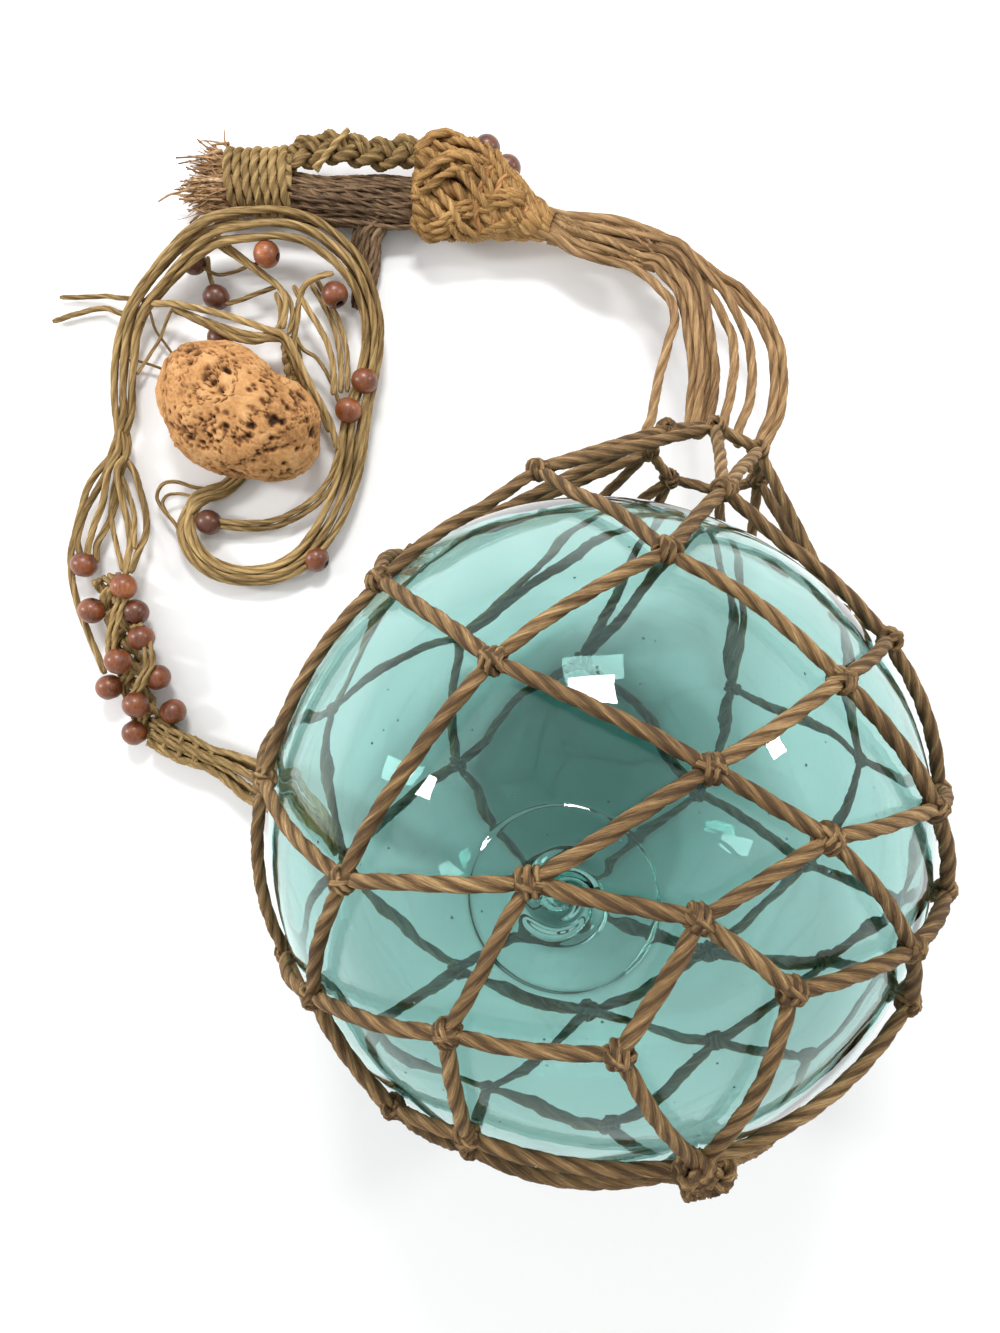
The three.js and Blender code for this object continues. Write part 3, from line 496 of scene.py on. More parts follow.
def body_along(route, wide, high):
    """A swelling body round a route, as a function giving places on its skin.

    t runs from 0 to 1 along it, the angle goes round it from its side over its top, and lift is
    the height above the skin. wide and high are straight-line values between stations in t.
    """
    line = smooth(route, 0.5)
    _, side, over = frame_of(line)
    share = run_of(line) / run_of(line)[-1]

    def place(t, angle, lift=0.0):
        half_wide = (np.interp(t, *np.transpose(wide)) / 2 + lift) * np.cos(angle)
        half_high = (np.interp(t, *np.transpose(high)) / 2 + lift) * np.sin(angle)
        return (sample(t, share, line) + sample(t, share, side) * half_wide[..., None]
                + sample(t, share, over) * half_high[..., None])
    return place


def away_from(path, line):
    """Directions from a line's nearest points out to a path, for a cord's upright."""
    nearest = line[np.argmin(((path[:, None] - line[None]) ** 2).sum(-1), axis=1)]
    return unit(path - nearest + [0, 0, 1e-3])


def plait(place, line, bands, turns, crossings, cords, spacing, radius, swing, start, end, seed):
    """Bands of parallel cords wound both ways round a body, passing over and under in turn."""
    wander = np.random.default_rng(seed)
    t = np.linspace(start, end, 90)
    skins = []
    for way in (-1, 1):
        for band in range(bands):
            for cord in range(cords):
                slip = wander.normal(0, 0.05) + (cord - (cords - 1) / 2) * spacing
                angle = 2 * np.pi * (band / bands + way * turns * t) + slip + 0.12 * np.sin(5 * t + band)
                lift = way * swing * np.cos(np.pi * crossings * t) + wander.normal(0, 0.15)
                path = even(place(t, angle, lift), 1.5)
                skins.append(laid(path, radius * wander.uniform(0.92, 1.06), plies=2, pitch=13, sides=8,
                                  deep=0.4, begin=wander.uniform(0, 6), up=away_from(path, line),
                                  shade=wander.uniform(0.3, 0.8)))
    return skins


def winding(place, line, turns, radius, start, end, lean, seed, shade=0.6, sides=8):
    """One cord wound round and round a body, each turn leaning over by lean radians."""
    wander = np.random.default_rng(seed)
    angle = np.linspace(0, 2 * np.pi * turns, int(46 * turns))
    t = start + (end - start) * angle / angle[-1] + lean * np.sin(angle)
    ripple = 0.25 * np.sin(angle * 0.37 + seed)
    path = even(place(np.clip(t, 0, 1), angle, ripple), 1.3)
    return laid(path, radius, plies=2, pitch=13, sides=sides, deep=0.4, begin=wander.uniform(0, 6),
                up=away_from(path, line), shade=shade)


def bundle(place, line, count, radius, seed, twist=0.0, wander=0.1, ends=(1.0, 1.0), step=1.8, inner=0.0):
    """Cords side by side round a body, all running along it, each a little astray."""
    draw = np.random.default_rng(seed)
    t = np.linspace(0, 1, 60)
    skins = []
    for k in range(count):
        astray = wander * np.sin(draw.uniform(2, 6) * t + draw.uniform(0, 6))
        angle = 2 * np.pi * k / count + twist * t + astray
        lift = draw.normal(0, 0.3) - inner * draw.uniform(0, 1) + 0.4 * np.sin(draw.uniform(3, 9) * t)
        path = even(place(t, angle, lift), step)
        run = run_of(path)
        grown = np.interp(run, [0, run[-1]], ends) * radius * draw.uniform(0.8, 1.15)
        skins.append(laid(path, grown, plies=2, pitch=15, sides=8, deep=0.35, begin=draw.uniform(0, 6),
                          up=away_from(path, line), shade=draw.uniform(0.2, 0.9)))
    return skins


crown_route = [
    [-8.8, 224.8, 14.5], [-21, 229.3, 14.5], [-31, 233.5, 14.5], [-43, 238.2, 14.5], [-55, 240, 14.5],
    [-63, 240.6, 14.5],
]
crown_wide = [
    [0, 10], [0.22, 14.5], [0.32, 21], [0.42, 28], [0.55, 34], [0.66, 38], [0.8, 40.5], [0.9, 39], [1, 31],
]
crown_high = [[0, 8], [0.25, 13], [0.5, 19.5], [0.8, 20.5], [1, 14]]
crown_line = smooth(crown_route, 1.0)
on_crown = body_along(crown_route, crown_wide, crown_high)
crown_skins = plait(on_crown, crown_line, bands=5, turns=0.42, crossings=3.6, cords=3, spacing=0.19,
                    radius=1.9, swing=1.3, start=0.22, end=1.0, seed=4)
crown_skins += bundle(body_along(crown_route, [[0, 6], [0.5, 26], [1, 30]], [[0, 5], [0.5, 13], [1, 10]]),
                      crown_line, 16, 3.2, twist=0.8, seed=3, step=3)
piece("crown_plait", crown_skins, crown_jute, ["crown_knot"])
piece("crown_binding", [
    winding(on_crown, crown_line, 6, 1.3, start=0.0, end=0.3, lean=0.02, seed=2),
    winding(on_crown, crown_line, 2.6, 1.3, start=0.18, end=0.46, lean=0.1, seed=5),
], bound_jute, ["crown_knot"])

# Shorter ends fill the middle of the gathered neck cords.
neck_inside = [[34, 206.5, 22], [27, 211.5, 20.5], [19.5, 215.2, 18.5], [11.5, 218, 17],
               [1.5, 220.6, 15.5], [-8, 224, 14.5]]
inside_neck = body_along(neck_inside, [[0, 7], [0.3, 14.5], [0.75, 12], [1, 10]], [[0, 4], [0.3, 6], [1, 6]])
neck_ends = bundle(inside_neck, smooth(neck_inside, 1.0), 11, 1.9, twist=0.5, seed=9, ends=(0.5, 1.0))
piece("neck_inside", neck_ends, neck_jute, ["neck_bundle"])

# ---- Plaited edge and core ------------------------------------------------------------------
# Beyond the crown a plait of doubled cords runs along the top of a thick core of old, greyed
# cordage, and one end of the core turns down and tapers off.
sinnet_route = [[-57, 252, 15.5], [-66, 253.5, 15.5], [-75, 252.5, 15.5], [-88, 254, 15.5],
                [-100, 255, 15.5], [-113, 252, 14]]
sinnet_line = smooth(sinnet_route, 1.0)


def braid(line, wide, high, pitch, radius, seed, shade):
    """Three doubled cords plaited along a line.

    Each swings from side to side once in a pitch and up and down twice, a third of a pitch
    behind the one before.
    """
    doubled = 1.3
    draw = np.random.default_rng(seed)
    _, side, over = frame_of(line)
    run = run_of(line)
    skins = []
    for k in range(3):
        for way in (-1, 1):
            phase = 2 * np.pi * (run / pitch + k / 3)
            sideways = wide * np.sin(phase) + way * doubled * np.abs(np.cos(phase)) ** 0.5
            upwards = high * np.sin(2 * phase) + 0.5 * way * doubled * np.sin(phase)
            path = line + side * sideways[:, None] + over * upwards[:, None]
            path = even(path, 1.3)
            skins.append(laid(path, radius * draw.uniform(0.93, 1.07), plies=2, pitch=13, sides=8, deep=0.4,
                              begin=draw.uniform(0, 6), shade=shade + draw.uniform(-0.2, 0.2)))
    return skins


spike = smooth([[-103, 245.5, 17], [-98, 251, 18.5], [-93, 256.5, 19], [-89.2, 260.7, 19]], 1.0)
# The plait's low shade of 0.15 is painted shade: the whole plait is darkened as it lies in shadow.
piece("top_plait", braid(sinnet_line, 4.0, 2.2, 30, 2.1, seed=3, shade=0.15) + [
    laid(spike, np.linspace(1.7, 1.2, len(spike)), plies=2, pitch=12, sides=10, shade=0.8)],
    hank_jute, ["top_sinnet"])

core_route = [[-60, 235.5, 10], [-75, 236, 9.5], [-90, 236.3, 9.5], [-101, 236.6, 9.5], [-114, 238, 9.5]]
core_line = smooth(core_route, 1.0)
on_core = body_along(core_route, [[0, 18], [0.3, 20.5], [1, 19.5]], [[0, 12], [1, 14]])
core_inside = body_along(core_route, [[0, 10], [1, 10]], [[0, 8], [1, 9]])
core_end_route = [[-79, 231, 8], [-83.6, 223, 7], [-84.2, 217, 5.8], [-84.6, 209, 4.8], [-86, 201, 4.3],
                  [-88, 195, 3.8]]
core_end_line = smooth(core_end_route, 1.0)
on_core_end = body_along(core_end_route, [[0, 10], [0.5, 10.5], [0.75, 9], [1, 2.5]],
                         [[0, 8], [0.3, 6.5], [0.7, 6], [1, 2.5]])
core_end_inside = body_along(core_end_route, [[0, 5], [1, 1]], [[0, 4], [1, 1]])
piece("core", [
    *bundle(on_core, core_line, 40, 0.95, twist=0.3, wander=0.25, seed=7, inner=0.8),
    *bundle(core_inside, core_line, 8, 3.2, seed=8, step=3),
    *bundle(on_core_end, core_end_line, 14, 1.25, twist=0.5, wander=0.2, seed=9, ends=(1.1, 0.8)),
    *bundle(core_end_inside, core_end_line, 5, 2.0, seed=10, ends=(1.2, 0.5)),
], core_jute, ["core_bundle", "core_end"])

# ---- Bound and frayed end -------------------------------------------------------------------
# The core's outer end is whipped with turns of cord and then frays out into a tuft.
wrap_route = [[-112.5, 243.5, 11], [-125, 243.5, 11], [-139, 243.5, 11]]
wrap_line = smooth(wrap_route, 1.0)
on_wrap = body_along(wrap_route, [[0, 25], [1, 23.5]], [[0, 17], [1, 16]])
inside_wrap = body_along(wrap_route, [[0, 16], [1, 16]], [[0, 10], [1, 10]])
piece("end_whipping", [
    winding(on_wrap, wrap_line, 6.6, 2.0, start=0.04, end=0.94, lean=0.05, shade=0.5, seed=6, sides=10),
    *bundle(inside_wrap, wrap_line, 10, 3.2, seed=12, step=3),
], hank_jute, ["tuft_wrap"])

tuft_jute = jute("Frayed jute", (110, 78, 50), (176, 138, 98), (222, 190, 150), Fine=7.0, Relief=0.8)


def frayed(root, heading, count, reach, spread, radius, seed):
    """Fibres fanning out of a cut end, each a thin tapering strand that bends as it goes."""
    droop = np.array([0, 0, 0.2])
    draw = np.random.default_rng(seed)
    skins = []
    for _ in range(count):
        start = np.array(root) + draw.normal(0, 1, 3) * spread[:3]
        way = unit(np.array(heading) + draw.normal(0, 1, 3) * spread[3:])
        curl = draw.normal(0, 0.4, 3) - droop
        length = reach * draw.uniform(0.45, 1.1)
        s = np.linspace(0, 1, 7)[:, None]
        path = start + way * s * length + curl * (s ** 2) * length * 0.5
        path[:, 2] = np.maximum(path[:, 2], 0.8)
        skins.append(laid(path, radius * draw.uniform(0.5, 1.2) * (1 - 0.6 * s[:, 0]), plies=1, sides=5,
                          deep=0, up=(0.1, 0.3, 1), shade=draw.uniform(0.1, 1.0)))
    return skins


stray_hair = smooth([[-150, 240, 9], [-157, 239.5, 8], [-163, 240.5, 7.5], [-169, 237.5, 7]], 1.0)
piece("tuft", [
    *frayed([-138, 241.5, 10.5], (-1, -0.08, 0), 420, 15, [1.2, 5.2, 3.2, 0.06, 0.1, 0.1], 0.95, seed=14),
    *frayed([-138, 249, 12], (-0.9, 0.3, 0.1), 120, 11, [1.5, 2.4, 2.2, 0.1, 0.2, 0.15], 0.7, seed=15),
    *frayed([-139, 241, 11], (-1, -0.05, 0.0), 110, 16, [1.5, 4.6, 3.6, 0.15, 0.3, 0.2], 0.3, seed=16),
    laid(stray_hair, np.linspace(0.8, 0.35, len(stray_hair)), plies=1, sides=6, deep=0, shade=0.6),
], tuft_jute, ["frayed_tuft"])

# ---- Beads ----------------------------------------------------------------------------------
# Turned wooden beads, stained red-brown and worn to a satin, threaded on the cords.
bead_radius = 5.4
bead_hole = 1.5


def ramp(tree, factor, stops):
    """A colour ramp with stops (place, everyday colour), as a socket."""
    node = put(tree, "ShaderNodeValToRGB", {"Fac": factor})
    bar = node.color_ramp.elements
    for place, _ in stops[1:-1]:
        bar.new(place)
    for stop, (place, colour) in zip(bar, stops):
        stop.position = place
        stop.color = linear(*colour)
    return node.outputs["Color"]


# Bead wood: fine grain and slow blotches in the stain, with painted shade in and round the holes.
wood_grain, wood_in, wood_out = group_of(
    "Bead wood", [("Relief", "NodeSocketFloat", 0.25)],
    [("Color", "NodeSocketColor"), ("Roughness", "NodeSocketFloat"), ("Normal", "NodeSocketVector")])
bead_place = stored(wood_grain, "fibre")
bead_hole_shade, bead_shade = stored_tone(wood_grain)
grain = noise(wood_grain, stretched(wood_grain, bead_place, 0.12), 1.6, 4.0, 0.6)
blotch = noise(wood_grain, bead_place, 0.16, 2.0)
# Painted shade darkens the stain inside the holes and towards their rims.
stain = sum_of(wood_grain, (grain, 0.7), (blotch, 0.7), (bead_shade, 0.45), (bead_hole_shade, -0.5), -0.45)
wood_colour = ramp(wood_grain, stain, [(0.0, (40, 19, 11)), (0.35, (94, 46, 22)), (0.65, (140, 76, 36)),
                                       (1.0, (196, 122, 66))])
wood_rough = put(wood_grain, "ShaderNodeMapRange", {"Value": grain, "To Min": 0.3, "To Max": 0.55})
wood_bump = put(wood_grain, "ShaderNodeBump", {
    "Height": grain, "Strength": wood_in.outputs["Relief"], "Distance": 0.3 * MM})
wood_grain.links.new(wood_colour, wood_out.inputs["Color"])
wood_grain.links.new(wood_rough.outputs["Result"], wood_out.inputs["Roughness"])
wood_grain.links.new(wood_bump.outputs["Normal"], wood_out.inputs["Normal"])
bead_wood = grouped("Stained bead wood", {"Coat Weight": 0.35, "Coat Roughness": 0.25}, wood_grain, {})
no_ends = np.zeros((0, 3), int)


def spun(radius, height, around):
    """A profile spun about its axis: places on a grid of its stations and the bearings round it."""
    return np.stack([radius[:, None] * np.cos(around), radius[:, None] * np.sin(around),
                     height[:, None] + 0 * around], axis=-1)


def turned_bead(place, axis, shade):
    """A bead: a closed profile, round outside and straight down its hole, spun about an axis."""
    outside_rows, hole_rows = 17, 6
    edge = math.asin(bead_hole / bead_radius) * 1.25
    polar = np.linspace(edge, np.pi - edge, outside_rows)
    hole = np.linspace(-0.9, 0.9, hole_rows)
    local = spun(np.concatenate([bead_radius * np.sin(polar), np.full(hole_rows, bead_hole)]),
                 np.concatenate([0.96 * bead_radius * np.cos(polar), hole * bead_radius * 0.93]),
                 np.linspace(0, 2 * np.pi, 26, endpoint=False))
    axis = unit(np.array(axis, float))
    across = unit(np.cross(axis, [0.3, 0.2, 1.0]))
    turned = local @ np.stack([across, np.cross(axis, across), axis])
    rows, columns = local.shape[:2]
    index = np.arange(rows * columns).reshape(rows, columns)
    below, right = np.roll(index, -1, axis=0), np.roll(index, -1, axis=1)
    quads = np.stack([index, below, np.roll(below, -1, axis=1), right], axis=-1).reshape(-1, 4)
    # Painted shade: darker towards each hole's rim and darkest down the hole.
    rims = 0.25 * np.abs(np.cos(np.linspace(0, np.pi, rows))) ** 6
    hole_shade = np.repeat(np.where(np.arange(rows) < outside_rows, rims, 1.0), columns)
    tone = np.stack([hole_shade, np.full(rows * columns, shade), 0 * hole_shade], axis=-1)
    return turned.reshape(-1, 3) + place, quads, no_ends, local.reshape(-1, 3) + shade * 40, tone


hank_beads = [[-154, 212.5, 8.5], [-122, 211.5, 18], [-145.5, 198.8, 6], [-95.6, 197, 13.7],
              [-83.9, 162.8, 12], [-90.4, 150.9, 12], [-148.5, 106.5, 6], [-104.5, 91.5, 5.6]]
sinnet_beads = [[-199, 89, 7.5], [-180, 79.5, 15], [-177, 69.5, 10], [-194.5, 70, 11], [-174, 59, 12],
                [-182, 49.5, 16], [-168.5, 43, 9], [-188, 39, 9.5], [-175, 32, 15.5], [-162.5, 29, 8],
                [-178, 20.5, 8]]
crown_beads = [[-34.3, 255.3, 15], [-26, 248.3, 13]]
cork_bead = [-144, 182, 5.6]
bead_places = [*hank_beads, *sinnet_beads, *crown_beads, cork_bead]
bead_axes = [(-0.9, 0.5, 0.1), (1, -0.3, 0.1), (0.1, 1, 0.1), (0.5, -0.9, 0.2), (0.1, 1, 0.2), (0.3, 1, 0.1),
             (0.5, 1, 0.1), (0.8, -0.4, 0.1), (0.2, 1, 0.1), (0.15, 1, 0.1), (0.3, 1, -0.3), (0.4, 1, 0.2),
             (-0.2, 1, 0.1), (0.3, 1, 0.1), (-0.4, 1, 0.1), (-0.3, 1, 0.1), (0.2, 1, -0.2), (-0.6, 1, 0.1),
             (-0.5, 0.8, 0.1), (0.3, 1, 0.2), (0.5, 1, 0.1), (1, 0.3, 0.1)]
# Each bead's shade: its own stain, made darker on low beads that lie in shadow and lighter on bright ones, as
# painted shade and painted light.
bead_shades = [0.1, 0.95, 0.0, 0.6, 0.55, 0.75, 0.1, 0.45, 0.5, 0.95, 0.35,
               0.6, 0.45, 0.7, 0.5, 0.6, 0.5, 0.45, 0.5, 0.3, 0.35, 0.4]
for i, (place, axis, shade) in enumerate(zip(bead_places, bead_axes, bead_shades), start=1):
    bead = turned_bead(place, axis, shade)
    piece(f"wooden_bead_{i}", [bead], bead_wood, [f"bead_{i}"])

# ---- Beaded sinnet and tail -----------------------------------------------------------------
# Below the legs the cords are plaited between the beads, bound once, and run on as a flat fan
# of cords that is tied into the side of the net.
beaded_route = [[-190, 84, 7], [-186, 74, 6.5], [-184, 63, 6], [-181.5, 50, 6], [-178.5, 38, 6],
                [-173, 26, 6.5], [-165, 17.5, 7]]
pair_route = [[-180, 84, 13], [-181, 76, 13], [-184, 66, 13.5], [-186, 55, 12.5], [-184.5, 47, 12]]
loop_route = [[-176, 64, 13], [-171, 55, 14], [-170, 49, 14], [-173, 41, 14.5], [-176, 36, 14]]
beaded_skins = braid(smooth(beaded_route, 1.0), 4.2, 2.2, 27, 1.6, seed=21, shade=0.5)
for k in range(2):
    beaded_skins.append(laid(smooth(pair_route, 1.3) + [k * 2.6 - 1.3, 0, 0.4 * k], 1.35, plies=2, sides=8,
                             shade=0.7))
    beaded_skins.append(laid(smooth(loop_route, 1.3) + [k * 2.6 - 1.3, k * 0.6, 0], 1.35, plies=2, sides=8,
                             shade=0.6))
piece("beaded_plait", beaded_skins, hank_jute, ["beaded_sinnet"])

# One of the cords that cross inside the hank is itself a close plait.
knotted_line = smooth([[-114.6, 181, 9.5], [-113.8, 174, 8.5], [-113, 168, 8], [-111.6, 162, 7.6],
                       [-108.8, 156.6, 7.2], [-105, 152, 6.6]], 1.0)
piece("knotted_cross", braid(knotted_line, 2.2, 1.5, 13, 1.5, seed=24, shade=0.3), hank_jute,
      ["knotted_cord"])

tail_route = [[-170, 20, 7.5], [-164.6, 17, 7.8], [-159, 14.5, 8], [-150, 11, 8.5], [-140, 7, 9],
              [-131, 2, 10], [-119, -4, 12], [-107, -10, 17], [-97, -16, 26], [-89, -21.5, 38]]
tail_line = smooth(tail_route, 1.0)
tail_wide = [[0, 9], [0.15, 10], [0.25, 7.5], [0.36, 12], [0.46, 17], [0.6, 15], [0.82, 7], [1, 4]]
tail_high = [[0, 9], [0.25, 7], [0.45, 4], [1, 3.5]]
on_tail = body_along(tail_route, tail_wide, tail_high)
piece("tail_fan", bundle(on_tail, tail_line, 14, 1.5, twist=0.5, wander=0.15, seed=22)
      + [winding(on_tail, tail_line, 3.2, 1.5, start=0.03, end=0.24, lean=0.02, seed=23, shade=0.6)],
      hank_jute, ["tail_bundle"])

# ---- Cork float -----------------------------------------------------------------------------
# A weathered lump of natural cork, pitted and cracked, tied in under the hank.
cork = {"x": -131, "y": 149, "tall": 38}
cork_columns, cork_rows = 260, 130
cork_pits = 700


def round_faces(rows, columns, outward=True):
    """The faces of a grid whose rows run round and close, turned outwards or inwards."""
    index = np.arange(rows * columns).reshape(rows, columns)
    right = np.roll(index, -1, axis=1)
    quads = np.stack([index[:-1], index[1:], right[1:], right[:-1]], axis=-1).reshape(-1, 4)
    return quads if outward else quads[:, ::-1]


def cork_lump():
    """The cork's skin on a grid of bearing and height, pitted and creased.

    Its reach is a sum of sines of the bearing. Over that lie sines in chance directions, one
    long crease and round pits.
    """
    draw = np.random.default_rng(31)
    polar = np.linspace(0, np.pi, cork_rows)
    ball = spun(np.sin(polar), np.cos(polar), np.linspace(0, 2 * np.pi, cork_columns, endpoint=False))
    x, y, z = np.moveaxis(ball, -1, 0)
    angle = np.arctan2(y, x)
    reach = (28.6 - 2.3 * np.cos(angle) - 1.7 * np.sin(angle) + 2.6 * np.cos(2 * angle)
             - 4.5 * np.sin(2 * angle) + 0.7 * np.cos(3 * angle) - 0.4 * np.sin(3 * angle))
    out = np.hypot(x, y) ** 0.8 * reach * (1 + 0.03 * np.sin(5 * angle + 4 * z))
    place = np.stack([out * np.cos(angle), out * np.sin(angle), z * cork["tall"] * 0.56], axis=-1)
    way = unit(np.stack([x, y, 1.25 * z], axis=-1))
    rough = np.zeros_like(z)
    for size, share in ((14, 0.55), (7, 0.35), (3.2, 0.3), (1.8, 0.16)):
        waves = draw.normal(0, 1, (10, 3)) * 2 * np.pi / size / 1.7
        phases = draw.uniform(0, 2 * np.pi, 10)
        rough += share * np.sin(place @ waves.T + phases).mean(axis=-1) * 2.2
    crease = np.exp(-(np.sin(place @ (draw.normal(0, 1, 3) * 0.22) + 2.2 * rough) / 0.16) ** 2)
    pit_at = unit(draw.normal(0, 1, (cork_pits, 3)))
    pit_size = draw.uniform(0.014, 0.036, cork_pits) * np.where(draw.random(cork_pits) < 0.05, 1.9, 1.0)
    pits = np.zeros_like(z)
    for at, size in zip(pit_at, pit_size):
        near = ((unit(ball) - at) ** 2).sum(-1) / size ** 2
        pits = np.maximum(pits, np.exp(-near ** 1.5) * min(1, size / 0.05))
    place = place + way * (rough - 1.1 * crease - 1.9 * pits)[..., None]
    place[..., 2] = np.maximum(place[..., 2] + cork["tall"] * 0.5, 0.0)
    place += [cork["x"], cork["y"], 0]
    place[0], place[-1] = place[0].mean(axis=0), place[-1].mean(axis=0)
    # Tones: the pits and the crease, darker partly for the cork's own dark pits and partly as painted shade;
    # and the swelling, for painted light on raised parts.
    tone = np.stack([np.clip(pits + 0.45 * crease, 0, 1), 0.5 + 0.5 * rough, 0 * pits], axis=-1)
    place = place.reshape(-1, 3)
    return place, round_faces(cork_rows, cork_columns), no_ends, place, tone.reshape(-1, 3)


cork_skin, cork_tree, cork_shader = finish("Weathered cork", {"Roughness": 0.9, "Specular IOR Level": 0.2})
cork_place = put(cork_tree, "ShaderNodeTexCoord").outputs["Object"]
cork_pit_shade, cork_swell_light = stored_tone(cork_tree)
cork_patches = noise(cork_tree, cork_place, 90.0, 4.0, 0.65)
cork_crumb = noise(cork_tree, cork_place, 900.0, 3.0, 0.7)
cork_pores = put(cork_tree, "ShaderNodeTexVoronoi", {"Vector": cork_place, "Scale": 420.0})
pore = put(cork_tree, "ShaderNodeMapRange", {
    "Value": cork_pores.outputs["Distance"], "From Min": 0.05, "From Max": 0.28}).outputs["Result"]
# Lightness: patches, crumbs and pores, painted light where the skin swells out, and darker in the pits and
# crease, partly the cork's own colour and partly painted shade.
cork_light = sum_of(cork_tree, (cork_patches, 0.9), (cork_crumb, 0.5), (cork_swell_light, 0.3), (pore, 0.16),
                    (cork_pit_shade, -0.75), -0.42)
cork_colour = ramp(cork_tree, cork_light, [(0.0, (62, 40, 24)), (0.28, (126, 86, 52)),
                                           (0.55, (186, 136, 86)), (1.0, (222, 178, 126))])
cork_bump = put(cork_tree, "ShaderNodeBump", {
    "Height": sum_of(cork_tree, (cork_crumb, 0.6), (pore, 0.4)), "Strength": 0.7, "Distance": 0.6 * MM})
cork_tree.links.new(cork_colour, cork_shader.inputs["Base Color"])
cork_tree.links.new(cork_bump.outputs["Normal"], cork_shader.inputs["Normal"])
piece("cork", [cork_lump()], cork_skin, ["cork_float"])

# ---- Glass float ----------------------------------------------------------------------------
# A blown ball of sea-green glass, hollow, thicker at its base and under the pressed button that
# seals it. Its walls are a little wavy and hold small bubbles.
ball_radius = 100.0
ball_centre = np.array([0, 0, 99.2])
seal_elevation, seal_bearing = math.radians(80.7), math.radians(194)
seal_radius, seal_proud = 21.0, 0.5
seal_way = np.array([math.cos(seal_elevation) * math.cos(seal_bearing),
                     math.cos(seal_elevation) * math.sin(seal_bearing), math.sin(seal_elevation)])
seal_across = unit(np.cross(seal_way, [0, 1, 0]))
seal_turn = np.stack([seal_across, np.cross(seal_way, seal_across), seal_way])


def ripples(way, size, seed, waves=14):
    """Slow, uneven swelling over a ball: sines in chance directions, averaged."""
    draw = np.random.default_rng(seed)
    count = draw.normal(0, 1, (waves, 3)) * 2 * np.pi / size
    return np.sin(way @ count.T + draw.uniform(0, 2 * np.pi, waves)).mean(axis=-1) * (waves / 2) ** 0.5


glass_columns = 250
glass_polar = np.concatenate([[0], np.linspace(0.004, 0.2, 60), np.linspace(0.205, 0.235, 14),
                              np.linspace(0.25, np.pi - 0.02, 82), [np.pi]])
glass_around = np.linspace(0, 2 * np.pi, glass_columns, endpoint=False)
glass_way = spun(np.sin(glass_polar), np.cos(glass_polar), glass_around) @ seal_turn


def outer_wall():
    """The outside: a ball, raised a little within the seal, flat where it stands."""
    from_seal = glass_polar[:, None] * ball_radius
    button = seal_proud / (1 + np.exp((from_seal - seal_radius) / 0.35))
    dimple = -0.5 * np.exp(-(from_seal / 7) ** 2)
    pressed = 0.12 * np.sin(3.1 * np.log1p(from_seal) + 2 * glass_around) * np.exp(-(from_seal / 9) ** 2)
    radius = ball_radius + button + dimple + pressed + 0.10 * ripples(glass_way, 0.8, 41)
    radius = radius + 0.03 * ripples(glass_way, 0.3, 42) + 0.022 * ripples(glass_way, 0.13, 46)
    place = glass_way * radius[..., None] + ball_centre
    place[..., 2] = np.maximum(place[..., 2], 0.0)
    return place.reshape(-1, 3)


def inner_wall():
    """The inside: the wall's thickness below the outside, with the twisted tip under the seal."""
    from_seal = glass_polar[:, None] * ball_radius
    near_seal = np.exp(-(glass_polar[:, None] / 0.62) ** 2)
    near_base = np.exp(-((np.pi - glass_polar[:, None]) / 0.6) ** 2)
    wall = 2.3 + 2.6 * near_seal + 3.8 * near_base
    tip = 3.2 * np.exp(-(from_seal / 5.5) ** 2)
    swirl = 0.55 * np.sin(4.2 * np.log1p(from_seal / 1.5) * 2 + 2 * glass_around)
    swirl = swirl * np.exp(-((from_seal - 7) / 4.5) ** 2)
    uneven = 0.22 * ripples(glass_way, 0.9, 43) + 0.10 * ripples(glass_way, 0.35, 44)
    place = glass_way * (ball_radius - wall - tip - swirl - uneven)[..., None] + ball_centre
    place[..., 2] = np.maximum(place[..., 2], 3.4)
    return place.reshape(-1, 3)


def bubbles():
    """Small bubbles caught in the wall, each a little round hollow whose skin faces inwards."""
    draw = np.random.default_rng(45)
    count = 130
    way = unit(draw.normal(0, 1, (count, 3)) + [0, 0, 0.5])
    size = draw.uniform(0.12, 0.42, count) * np.where(draw.random(count) < 0.06, 1.7, 1.0)
    middle = way * (ball_radius - 1.15) + ball_centre
    rows, columns = 7, 9
    polar = np.linspace(0, np.pi, rows)
    ball = spun(np.sin(polar), np.cos(polar), np.linspace(0, 2 * np.pi, columns, endpoint=False))
    points = (middle[:, None] + ball.reshape(-1, 3) * size[:, None, None]).reshape(-1, 3)
    first = rows * columns * np.arange(count)[:, None, None]
    return points, (round_faces(rows, columns, outward=False) + first).reshape(-1, 4), no_ends


glass, glass_tree, _ = finish("Sea-green glass", {
    "Base Color": (0.93, 0.99, 0.98, 1), "Roughness": 0.0, "IOR": 1.5, "Transmission Weight": 1.0})
glass_body = put(glass_tree, "ShaderNodeVolumeAbsorption", {"Color": (0.06, 0.62, 0.56, 1), "Density": 138.0})
glass_tree.links.new(glass_body.outputs["Volume"], glass_tree.nodes["Material Output"].inputs["Volume"])
piece("glass_ball", [
    (outer_wall(), round_faces(len(glass_polar), glass_columns), no_ends),
    (inner_wall(), round_faces(len(glass_polar), glass_columns, outward=False), no_ends),
    bubbles(),
], glass, ["glass_float"])

